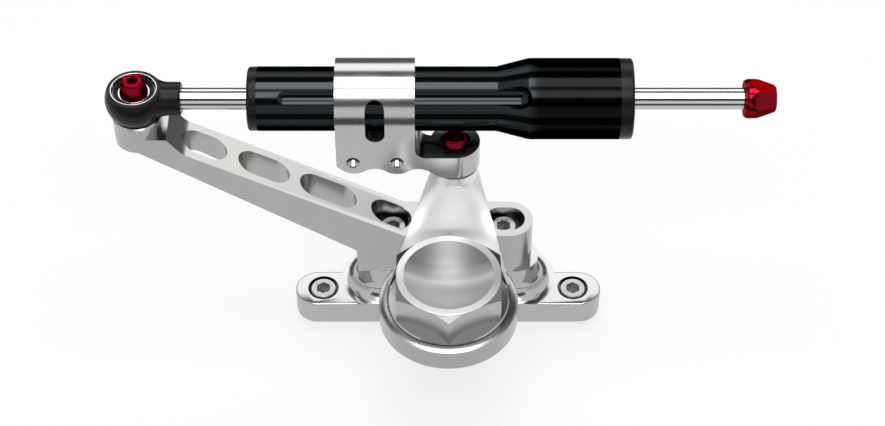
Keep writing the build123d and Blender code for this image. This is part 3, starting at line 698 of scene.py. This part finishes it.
def buildBolts():
    settings = {"headHeight": 5.7, "topRadius": 3.8, "shankRadius": 3.0, "flats": 3.8, "rim": 0.5}
    for node, name, body in (("rod_end_bolt", "rodEndBolt", "frame_side"), ("pivot_bolt", "pivotBolt", "stem_side")):
        low, high = boxOf(node)
        base = (high.x - low.x) / 2
        spot = Vector(((low.x + high.x) / 2, (low.y + high.y) / 2, 0))
        seat = high.z - settings["headHeight"]
        shank = settings["shankRadius"]
        top = settings["topRadius"]
        rim = settings["rim"]
        points = [
            (low.z, 0), (low.z, shank - 0.4), (low.z + 0.4, shank), (seat, shank), (seat, base),
            (seat + rim, base), (high.z - rim, top), (high.z, top - rim), (high.z, 0),
        ]
        bolt = cut(turned(points, spot, "Z", 64), hexTool(settings["flats"], high.z - 3.1, high.z + 1, spot))
        finished(bolt, name, "red_anodised", body, [node], 0.15)


# Sleeve under the rod end's ball and washer under the pivot's
def buildSpacers():
    settings = {"bore": 3.05, "stemRadius": 4.0}
    low, high = boxOf("rod_end_sleeve")
    ballLow, ballHigh = boxOf("rod_end_ball")
    spot = Vector(((low.x + high.x) / 2, (low.y + high.y) / 2, 0))
    outer = (high.x - low.x) / 2
    points = [
        (low.z, settings["bore"]), (low.z, outer), (ballLow.z, outer), (ballLow.z, settings["stemRadius"]),
        (high.z, settings["stemRadius"]), (high.z, settings["bore"]),
    ]
    sleeve = turned(points, spot, closed=True)
    finished(sleeve, "rodEndSleeve", "polished_aluminium", "frame_side", ["rod_end_sleeve"], 0.2)
    low, high = boxOf("pivot_washer")
    spot = Vector(((low.x + high.x) / 2, (low.y + high.y) / 2, 0))
    outer = (high.x - low.x) / 2
    points = [(low.z, settings["bore"]), (low.z, outer), (high.z, outer), (high.z, settings["bore"])]
    finished(turned(points, spot, closed=True), "pivotWasher", "stainless_steel", "stem_side", ["pivot_washer"], 0.15)


# Frame bracket: wings with counterbores, and a flared pillar under the arm
bracketLow, bracketHigh = boxOf("frame_bracket")


def buildBracket():
    settings = {
        "plate": 10.4, "wingRadius": 8.65, "pillarRadius": 9.5, "pillarHalfSpan": 25.5, "flare": 7.4,
        "screwHole": 3.25, "counterbore": 6.0, "headDepth": 6.0, "wingEdge": 0.8,
    }
    plate = settings["plate"]
    pillar = settings["pillarRadius"]
    flare = settings["flare"]
    span = settings["pillarHalfSpan"]
    spot = Vector((0, axisSpot.y, 0))
    corner = [(z, r) for r, z in arc((pillar + flare, plate + flare), flare, 270, 180, 16)]
    points = [(0, 0), (0, pillar + flare)] + corner + [(bracketHigh.z, pillar), (bracketHigh.z, 0)]
    column = halfTurned(points, spot, span)
    clip = drawnOut(
        flat(
            [(-70, bracketLow.y), (70, bracketLow.y), (70, bracketHigh.y), (-70, bracketHigh.y)], "XY", -1
        ),
        Vector((0, 0, bracketHigh.z + 2)),
    )
    wings = stadium(bracketHigh.x - bracketLow.x, 2 * settings["wingRadius"], 0, 0, 0, plate, 24)
    top = [face for face in wings.faces if face.normal.z > 0.9]
    rim = [edge for face in top for edge in face.edges]
    bmesh.ops.bevel(
        wings, geom=rim, offset=settings["wingEdge"], offset_type="OFFSET", segments=4, profile=0.5,
        affect="EDGES", clamp_overlap=True, material=-1,
    )
    changes = [("INTERSECT", clip), ("UNION", wings)]
    screwLow, screwHigh = boxOf("bracket_screws")
    for x in (screwLow.x + 5.0, screwHigh.x - 5.0):
        hole = Vector((x, 0, 0))
        changes.append(("DIFFERENCE", rod(settings["screwHole"], -1, plate, hole)))
        changes.append(("DIFFERENCE", rod(settings["counterbore"], plate - settings["headDepth"], plate + 1, hole, steps=96)))
    body = combined(column, changes)
    finished(body, "frameBracket", "mirror_aluminium", "frame_side", ["frame_bracket"], 0.3, 34)


def halfTurned(points, spot, span):
    # A profile turned half round at each end of a straight stretch along X
    bm = bmesh.new()
    start = Vector((span, spot.y, 0))
    verts = [bm.verts.new(start + Vector((0, -r, z))) for z, r in points]
    edges = [bm.edges.new(pair) for pair in zip(verts, verts[1:])]
    bmesh.ops.spin(bm, geom=verts + edges, cent=start, axis=(0, 0, 1), angle=math.pi, steps=48)
    bmesh.ops.remove_doubles(bm, verts=bm.verts[:], dist=fine)
    side = [edge for edge in bm.edges if edge.is_boundary]
    made = bmesh.ops.extrude_edge_only(bm, edges=side)
    moved = [item for item in made["geom"] if isinstance(item, bmesh.types.BMVert)]
    bmesh.ops.translate(bm, verts=moved, vec=(-span, 0, 0))
    bmesh.ops.mirror(bm, geom=bm.verts[:] + bm.edges[:] + bm.faces[:], matrix=Matrix.Identity(4), merge_dist=fine, axis="X")
    bmesh.ops.remove_doubles(bm, verts=bm.verts[:], dist=fine)
    bmesh.ops.recalc_face_normals(bm, faces=bm.faces[:])
    return bm


# Reach arm: a bar on the pillar that rises to the rod end's pad, with three slots
def buildArm():
    settings = {
        "barHeight": 19.9, "slopeStart": -16.8, "padRise": 51.1, "padThickness": 6.4, "stepStart": 10.8,
        "stepRun": 5.4, "stepHeight": 7.3, "stepRound": 7.0, "footSide": 11.6, "slotWidth": 11.2,
        "slots": ((-0.01, 0.189), (0.238, 0.469), (0.515, 0.777)), "pocketDepth": 9.8, "pocketLength": 15.3,
        "pocketWidth": 11.8, "pocketShift": 0.5, "footX": -35.0, "bossHeight": 5.1, "bossEdge": 0.5,
    }
    low, high = boxOf("reach_arm")
    width = high.y - low.y
    y = (low.y + high.y) / 2
    barTop = low.z + settings["barHeight"]
    padX = low.x + width / 2
    crest = padX + settings["stepStart"]
    stepX = crest + settings["stepRun"]
    padTop = high.z - settings["bossHeight"]
    corners = [
        (settings["footX"], low.z), (high.x, low.z), (high.x, barTop), (settings["slopeStart"], barTop),
        (stepX, padTop - settings["stepHeight"]), (crest, padTop), (low.x, padTop),
        (low.x, padTop - settings["padThickness"]), (padX, padTop - settings["padThickness"]),
        (settings["footX"], low.z + settings["footSide"]),
    ]
    bar = drawnOut(flat(corners, "XZ", low.y, {4: settings["stepRound"], 9: 2.0}), Vector((0, width, 0)))
    plan = stadium(high.x - low.x, width, (low.x + high.x) / 2, y, low.z - 1, high.z + 1, 32)
    changes = [("INTERSECT", plan)]
    run = settings["slopeStart"] - stepX
    for start, end in settings["slots"]:
        tool = stadium(run * (end - start), settings["slotWidth"], stepX + run * (start + end) / 2, y, low.z - 1, high.z + 1)
        changes.append(("DIFFERENCE", tool))
    screwLow, screwHigh = boxOf("arm_screws")
    for side, x in ((-1, screwLow.x + 5.0), (1, screwHigh.x - 5.0)):
        pocket = stadium(
            settings["pocketLength"], settings["pocketWidth"], x + side * settings["pocketShift"], y,
            barTop - settings["pocketDepth"], high.z + 1,
        )
        changes.append(("DIFFERENCE", pocket))
        changes.append(("DIFFERENCE", rod(3.25, low.z - 1, barTop, Vector((x, y, 0)))))
    seat = Vector((padX, y, 0))
    edge = settings["bossEdge"]
    boss = [
        (padTop - 2, 0), (padTop - 2, width / 2), (high.z - edge, width / 2), (high.z, width / 2 - edge), (high.z, 0),
    ]
    changes.append(("UNION", turned(boss, seat, steps=128)))
    changes.append(("DIFFERENCE", rod(3.05, padTop - 10, high.z + 1, seat)))
    finished(combined(bar, changes), "reachArm", "milled_aluminium", "frame_side", ["reach_arm"], 0.4, 30)


# Body clamp: a ring round the barrel, a slit lug with a waved edge, and the pivot's arm
def buildClamp():
    settings = {
        "ringRadius": 14.85, "bore": 11.72, "length": 28.6, "slit": 1.6, "pinchDrop": 18.0, "spacing": 15.9,
        "lobe": 7.3, "valley": 1.6, "waveRound": 6.16, "armTop": 15.7, "fillet": 4.0, "scallop": 7.0,
        "scallopDepth": 6.3, "windowWidth": 7.0, "windowLength": 17.3, "windowRise": 1.25, "armRadius": 9.1,
        "rearJaw": 10.1, "threadRadius": 2.5, "threadDepth": 0.35, "pitch": 0.8, "headOpening": 5.7, "raceBore": 7.0,
    }
    low, high = boxOf("body_clamp")
    ring = settings["ringRadius"]
    front = low.y
    rear = axisSpot.y + settings["rearJaw"]
    endX = low.x + settings["length"]
    pivot = middleOf("pivot_ball")
    reach = settings["armRadius"]
    pinchZ = axisSpot.z - settings["pinchDrop"]
    armTop = axisSpot.z - settings["armTop"]
    screwLow, screwHigh = boxOf("clamp_screws")
    screws = (screwLow.x + 4.25, screwHigh.x - 4.25)
    lobe = pinchZ - settings["lobe"]
    valley = pinchZ - settings["valley"]
    half = settings["spacing"] / 2
    corners = [
        (low.x, axisSpot.z), (low.x, valley - 0.5), (screws[0], lobe), (screws[0] + half, valley), (screws[1], lobe),
        (screws[1] + half, valley), (screws[1] + 2 * half, low.z), (pivot.x + reach, low.z), (pivot.x + reach, armTop),
        (endX, armTop), (endX, axisSpot.z),
    ]
    rounds = {number: settings["waveRound"] for number in (2, 3, 4, 5)}
    rounds.update({6: settings["fillet"], 9: settings["fillet"]})
    lug = drawnOut(flat(corners, "XZ", front, rounds), Vector((0, rear - front, 0)))
    scallopX = endX + settings["scallop"] - 0.5
    scallopY = front + 2 * reach - settings["scallopDepth"] + settings["scallop"]
    upright = (low.z - 1, high.z + 1)
    plan = drawnOut(
        flat([(low.x - 1, front - 0.01), (pivot.x, front - 0.01), (pivot.x, front + 2 * reach), (endX, front + 2 * reach),
              (endX, rear + 1), (low.x - 1, rear + 1)], "XY", upright[0]),
        Vector((0, 0, upright[1] - upright[0])),
    )
    plan = combined(plan, [
        ("DIFFERENCE", rod(settings["scallop"], upright[0] - 1, upright[1] + 1, Vector((scallopX, scallopY, 0)), steps=96)),
        ("UNION", rod(reach, upright[0], upright[1], Vector((pivot.x, pivot.y, 0)), steps=128)),
    ])
    changes = [
        ("INTERSECT", plan),
        ("UNION", rod(ring, low.x, endX, axisSpot, "X", 160)),
        ("DIFFERENCE", rod(settings["bore"], low.x - 1, endX + 1, axisSpot, "X", 160)),
    ]
    slitHalf = settings["slit"] / 2
    slit = flat([(low.x - 1, axisSpot.y - slitHalf), (endX, axisSpot.y - slitHalf), (endX, axisSpot.y + slitHalf),
                 (low.x - 1, axisSpot.y + slitHalf)], "XY", low.z - 2)
    changes.append(("DIFFERENCE", drawnOut(slit, Vector((0, 0, axisSpot.z - low.z)))))
    window = stadium(settings["windowLength"], settings["windowWidth"], 0, 0, 0, ring + 2)
    bmesh.ops.rotate(window, cent=(0, 0, 0), matrix=Matrix.Rotation(math.radians(90), 3, "Z"), verts=window.verts[:])
    bmesh.ops.rotate(window, cent=(0, 0, 0), matrix=Matrix.Rotation(math.radians(90), 3, "X"), verts=window.verts[:])
    place = Vector((low.x + settings["length"] / 2, axisSpot.y, axisSpot.z + settings["windowRise"]))
    bmesh.ops.translate(window, verts=window.verts[:], vec=place)
    changes.append(("DIFFERENCE", window))
    for x in screws:
        spot = Vector((x, 0, pinchZ))
        changes.append(("DIFFERENCE", threadTool(spot, front, axisSpot.y, settings)))
        changes.append(("DIFFERENCE", rod(2.75, axisSpot.y, rear + 1, spot, "Y", 48)))
        changes.append(("DIFFERENCE", rod(4.5, rear - 5.2, rear + 1, spot, "Y", 48)))
    hub = Vector((pivot.x, pivot.y, 0))
    raceLow, raceHigh = boxOf("pivot_race")
    changes.append(("DIFFERENCE", rod(settings["raceBore"], low.z - 1, raceHigh.z, hub, steps=96)))
    changes.append(("DIFFERENCE", rod(settings["headOpening"], raceLow.z, armTop + 1, hub, steps=96)))
    finished(combined(lug, changes), "bodyClamp", "polished_aluminium", "body_side", ["body_clamp"], 0.4, 30)


def threadTool(spot, front, end, settings):
    # A bore along Y whose wall has the rings of a thread
    radius = settings["threadRadius"]
    depth = settings["threadDepth"]
    pitch = settings["pitch"]
    points = [(front - 1, 0), (front - 1, radius + 0.1), (front, radius + 0.1)]
    for number in range(int((end - front) / pitch)):
        points += [(front + (number + 0.5) * pitch, radius - depth), (front + (number + 1) * pitch, radius)]
    points += [(end + 0.1, radius), (end + 0.1, 0)]
    return turned(points, spot, "Y", 48)


# Pivot bearing in the clamp's arm
def buildPivotBearing():
    low, high = boxOf("pivot_race")
    spot = (low + high) / 2
    outer = (high.x - low.x) / 2
    half = (high.z - low.z) / 2
    ballLow, ballHigh = boxOf("pivot_ball")
    ballRadius = (ballHigh.x - ballLow.x) / 2
    cup = ballRadius + 0.04
    slope = math.degrees(math.asin(half / cup))
    points = [(a, r) for r, a in arc((0, 0), cup, -slope, slope, 12)] + [(half, outer), (-half, outer)]
    finished(turned(points, spot, closed=True), "pivotRace", "bearing_steel", "body_side", ["pivot_race"], 0.1)
    ballSpot = (ballLow + ballHigh) / 2
    buildBall(ballSpot, ballRadius, (ballHigh.z - ballLow.z) / 2, "pivotBall", "stem_side", "pivot_ball", 3.05)


# Stem plate: a recessed ring and the post that leans up to the pivot
plateLow, plateHigh = boxOf("stem_plate")


def buildStemPlate():
    settings = {
        "ringHeight": 9.0, "recess": 6.0, "recessRadius": 22.6, "bore": 14.0, "footRadius": 23.5, "headRadius": 8.6,
        "collarRadius": 8.5, "collarHeight": 3.5, "edgeRun": 1.2, "edgeDrop": 0.6, "levels": 16,
        "sideTurn": 77.0, "scoopHeight": 60.0, "scoopFront": -18.1, "hollow": -0.2,
    }
    ringRadius = (plateHigh.x - plateLow.x) / 2
    ringTop = plateLow.z + settings["ringHeight"]
    collarLow = plateHigh.z - settings["collarHeight"]
    pivot = middleOf("pivot_ball")
    run = settings["edgeRun"]
    ring = turned([
        (plateLow.z, 0), (plateLow.z, ringRadius), (ringTop - settings["edgeDrop"], ringRadius),
        (ringTop, ringRadius - run), (ringTop, 0),
    ], stemSpot, steps=160)
    post = bmesh.new()
    foot = Vector((stemSpot.x, stemSpot.y, ringTop - 0.5))
    head = Vector((pivot.x, pivot.y, collarLow))
    headFront = head.y - settings["headRadius"]
    fall = (headFront - settings["scoopFront"]) / (head.z - settings["scoopHeight"])
    sideTurn = math.radians(settings["sideTurn"])
    for level in range(settings["levels"] + 1):
        share = level / settings["levels"]
        spot = foot.lerp(head, share)
        radius = settings["footRadius"] + (settings["headRadius"] - settings["footRadius"]) * share
        side = radius * math.cos(sideTurn)
        front = headFront - (head.z - spot.z) * fall - spot.y
        depth = max(side - front, settings["hollow"] * (side + radius))
        made = bmesh.ops.create_circle(post, cap_ends=False, segments=128, radius=radius)
        for vert in made["verts"]:
            turn = math.atan2(vert.co.x, vert.co.y)
            if abs(turn) > sideTurn:
                # in front of the two sides the loop is drawn back, clear of the nut
                bend = (math.pi - abs(turn)) / (math.pi - sideTurn) * math.pi / 2
                vert.co.x = math.copysign(radius * math.sin(sideTurn) * math.sin(bend), turn)
                vert.co.y = side - depth * math.cos(bend) ** (2 - share)
            vert.co += spot
        if level:
            loops = set(below) | set(made["verts"])
            bmesh.ops.bridge_loops(post, edges=[e for e in post.edges if loops.issuperset(e.verts)])
        below = made["verts"]
    bmesh.ops.holes_fill(post, edges=[edge for edge in post.edges if edge.is_boundary])
    bmesh.ops.recalc_face_normals(post, faces=post.faces[:])
    hub = Vector((pivot.x, pivot.y, 0))
    collar = turned([
        (collarLow - 1, 0), (collarLow - 1, settings["collarRadius"]), (plateHigh.z, settings["collarRadius"]),
        (plateHigh.z, 0),
    ], hub, steps=128)
    floor = ringTop - settings["recess"]
    body = combined(ring, [
        ("UNION", post),
        ("UNION", collar),
        ("DIFFERENCE", rod(settings["recessRadius"], floor, plateHigh.z + 1, stemSpot, steps=160)),
        ("DIFFERENCE", rod(settings["bore"], plateLow.z - 1, floor + 1, stemSpot, steps=96)),
        ("DIFFERENCE", rod(3.05, collarLow - 20, plateHigh.z + 1, hub)),
    ])
    finished(body, "stemPlate", "satin_aluminium_painted_highlight", "stem_side", ["stem_plate"], 0.2, 34)


# Stem nut: flange, hexagon with a turned crown, and a dished top
def buildStemNut():
    settings = {
        "hub": 3.0, "hubRadius": 13.92, "flange": 6.7, "flats": 38.0, "crownAngle": 30.0, "dishRadius": 16.4,
        "dishDepth": 5.4, "threadRadius": 12.5, "threadDepth": 13.4, "flangeEdge": 0.5,
    }
    flatRadius = settings["flats"] / 2
    corner = flatRadius / math.cos(math.pi / 6)
    flangeRadius = (nutHigh.x - nutLow.x) / 2
    seat = nutLow.z + settings["hub"]
    flangeTop = seat + settings["flange"]
    edge = settings["flangeEdge"]
    base = turned([
        (nutLow.z, 0), (nutLow.z, settings["hubRadius"]), (seat, settings["hubRadius"]), (seat, flangeRadius),
        (flangeTop - edge, flangeRadius), (flangeTop, flangeRadius - edge), (flangeTop, 0),
    ], stemSpot, steps=160)
    hexagon = bmesh.new()
    made = bmesh.ops.create_circle(hexagon, cap_ends=True, segments=6, radius=corner)
    bmesh.ops.translate(hexagon, verts=made["verts"], vec=stemSpot + Vector((0, 0, flangeTop - 0.5)))
    drawnOut(hexagon, Vector((0, 0, nutHigh.z - flangeTop + 0.5)))
    fall = math.tan(math.radians(settings["crownAngle"]))
    side = corner + 2
    crown = turned([
        (flangeTop - 1, 0), (flangeTop - 1, side), (nutHigh.z - (side - flatRadius) * fall, side),
        (nutHigh.z, flatRadius), (nutHigh.z, 0),
    ], stemSpot, steps=160)
    top = combined(hexagon, [("INTERSECT", crown)])
    sphere = (settings["dishRadius"] ** 2 + settings["dishDepth"] ** 2) / (2 * settings["dishDepth"])
    lowest = nutHigh.z - settings["dishDepth"]
    reach = math.degrees(math.asin(settings["dishRadius"] * 1.05 / sphere))
    bowl = [(lowest + sphere - sphere * math.cos(math.radians(a)), sphere * math.sin(math.radians(a)))
            for a in [reach * step / 24 for step in range(25)]]
    dish = turned(bowl + [(nutHigh.z + 3, bowl[-1][1]), (nutHigh.z + 3, 0)], stemSpot, steps=160)
    body = combined(base, [
        ("UNION", top),
        ("DIFFERENCE", dish),
        ("DIFFERENCE", rod(settings["threadRadius"], nutLow.z - 1, nutLow.z + settings["threadDepth"], stemSpot, steps=96)),
    ])
    finished(body, "stemNut", "turned_aluminium_painted_light", "nut", ["stem_nut"], 0.25, 24)


for build in (
    buildRod, buildBarrel, buildCaps, buildWipers, buildKnob, buildRodEnd, buildRodEndBearing, buildScrews,
    buildPinchScrews, buildBolts, buildSpacers, buildBracket, buildArm, buildClamp, buildPivotBearing,
    buildStemPlate, buildStemNut,
):
    build()
    print(build.__name__, "done")


# Inner parts keep their frame shape and take their own finish
kept = {
    "rod_end_clip": "spring_steel", "pivot_clip": "spring_steel", "piston_clips": "spring_steel",
    "damper_piston": "inner_aluminium", "separator_piston": "inner_aluminium", "piston_band": "slide_plastic",
    "separator_ring": "seal_rubber", "rod_seals": "seal_rubber", "cap_o_rings": "seal_rubber",
    "rod_bushes": "bush_bronze", "adjuster_needle": "stainless_steel",
}
for node, finish in kept.items():
    nodes[node].data.materials.clear()
    nodes[node].data.materials.append(materials[finish])
print("inner parts finished", len(kept))


# Studio: white surroundings, a white table, soft boxes and black flags, and the camera
def rayKind(tree):
    # 1 where the camera, metal or glass looks, 0 for light that falls on matt surfaces
    rays = tree.node("ShaderNodeLightPath")
    glossy = Field(tree, rays.socket.node.outputs["Is Glossy Ray"])
    clear = Field(tree, rays.socket.node.outputs["Is Transmission Ray"])
    return rays.joined("MAXIMUM", rays.joined("MAXIMUM", rays, glossy), clear)


def studioWorld():
    settings = {"matt": 0.5}
    world = bpy.data.worlds.new("studio")
    bpy.context.scene.world = world
    tree = Tree(world)
    level = rayKind(tree) * (1 - settings["matt"]) + settings["matt"]
    glow = tree.node("ShaderNodeBackground", {}, {"Color": (1, 1, 1, 1), "Strength": level})
    tree.node("ShaderNodeOutputWorld", {}, {"Surface": glow})


def staged(bm, name, material, shown=True):
    mesh = bpy.data.meshes.new(name)
    bm.to_mesh(mesh)
    bm.free()
    mesh.materials.append(material)
    piece = bpy.data.objects.new(name, mesh)
    bpy.context.scene.collection.objects.link(piece)
    piece.visible_camera = shown


def sheet(x, y, z, halfLength, halfWidth):
    bm = bmesh.new()
    bmesh.ops.create_grid(bm, x_segments=1, y_segments=1, size=1)
    bmesh.ops.scale(bm, verts=bm.verts[:], vec=(halfLength, halfWidth, 1))
    bmesh.ops.translate(bm, verts=bm.verts[:], vec=(x, y, z))
    return bm


def glowing(name, level):
    material = bpy.data.materials.new(name)
    tree = Tree(material)
    glow = tree.node("ShaderNodeEmission", {}, {"Color": (1, 1, 1, 1), "Strength": level})
    tree.node("ShaderNodeOutputMaterial", {}, {"Surface": glow})
    return material


tableLevel = cadBounds[0][2] - 0.0002


def table():
    settings = {"halfLength": 0.34, "front": -0.165, "back": 0.25, "colour": 0.86, "own": 0.78}
    material = bpy.data.materials.new("table white")
    tree = Tree(material)
    grey = settings["colour"]
    matt = tree.node("ShaderNodeBsdfDiffuse", {}, {"Color": (grey, grey, grey, 1)})
    glow = tree.node("ShaderNodeEmission", {}, {"Color": (1, 1, 1, 1), "Strength": 1.0})
    mixed = tree.node("ShaderNodeMixShader", {}, {0: rayKind(tree) * settings["own"], 1: matt, 2: glow})
    tree.node("ShaderNodeOutputMaterial", {}, {"Surface": mixed})
    half = (settings["back"] - settings["front"]) / 2
    staged(sheet(0, settings["front"] + half, tableLevel, settings["halfLength"], half), "table", material)


def studioCards():
    # Each long card spans some degrees about the X axis, from the horizon behind (0) over the top (90)
    settings = {
        "distance": 1.0, "centre": (0, 0, 0.08),
        "cards": {
            "flagBack": (-22, 21, 0.14, 1.6), "boxBack": (23, 53, 2.0, 0.70), "flagHigh": (54, 75.5, 0.09, 0.8),
            "boxTop": (77, 101.5, 6.5, 0.30), "boxFront": (112.5, 131.5, 6.0, 0.30), "flagFront": (134, 158, 0.10, 0.8),
        },
        "sides": {"distance": 1.2, "halfWidth": 1.0, "low": -0.35, "high": 0.45, "level": 0.68},
        "board": {"front": -0.60, "back": -0.166, "level": 0.10, "halfLength": 0.7},
    }
    distance = settings["distance"]
    for name, (start, end, level, halfLength) in settings["cards"].items():
        middle = math.radians((start + end) / 2)
        halfWidth = distance * math.tan(math.radians(end - start) / 2)
        bm = sheet(0, 0, 0, halfLength, halfWidth)
        turn = Matrix.Rotation(middle - math.pi / 2, 4, "X")
        place = Vector(settings["centre"]) + Vector((0, math.cos(middle), math.sin(middle))) * distance
        bmesh.ops.transform(bm, matrix=Matrix.Translation(place) @ turn, verts=bm.verts[:])
        staged(bm, name, glowing(name, level), False)
    sides = settings["sides"]
    for hand in (-1, 1):
        tall = (sides["high"] - sides["low"]) / 2
        bm = sheet(0, 0, 0, tall, sides["halfWidth"])
        bmesh.ops.rotate(bm, cent=(0, 0, 0), matrix=Matrix.Rotation(math.pi / 2, 3, "Y"), verts=bm.verts[:])
        bmesh.ops.translate(bm, verts=bm.verts[:], vec=(hand * sides["distance"], 0, sides["low"] + tall))
        staged(bm, "flagSide" + ("Left" if hand < 0 else "Right"), glowing("flagSide", sides["level"]), False)
    board = settings["board"]
    half = (board["back"] - board["front"]) / 2
    bm = sheet(0, board["front"] + half, tableLevel, board["halfLength"], half)
    staged(bm, "flagLow", glowing("flagLow", board["level"]), False)


def cameraPiece():
    settings = {"spot": (-0.0022, -0.5439, 0.6325), "tilt": 43.2, "lens": 85.4}
    camera = bpy.data.cameras.new("camera")
    camera.lens = settings["lens"]
    camera.sensor_width = 36
    piece = bpy.data.objects.new("camera", camera)
    piece.location = settings["spot"]
    piece.rotation_euler = (math.radians(settings["tilt"]), 0, 0)
    bpy.context.scene.collection.objects.link(piece)
    bpy.context.scene.camera = piece


studioWorld()
table()
studioCards()
cameraPiece()
bpy.context.scene.view_settings.view_transform = "Standard"
print("studio ready")
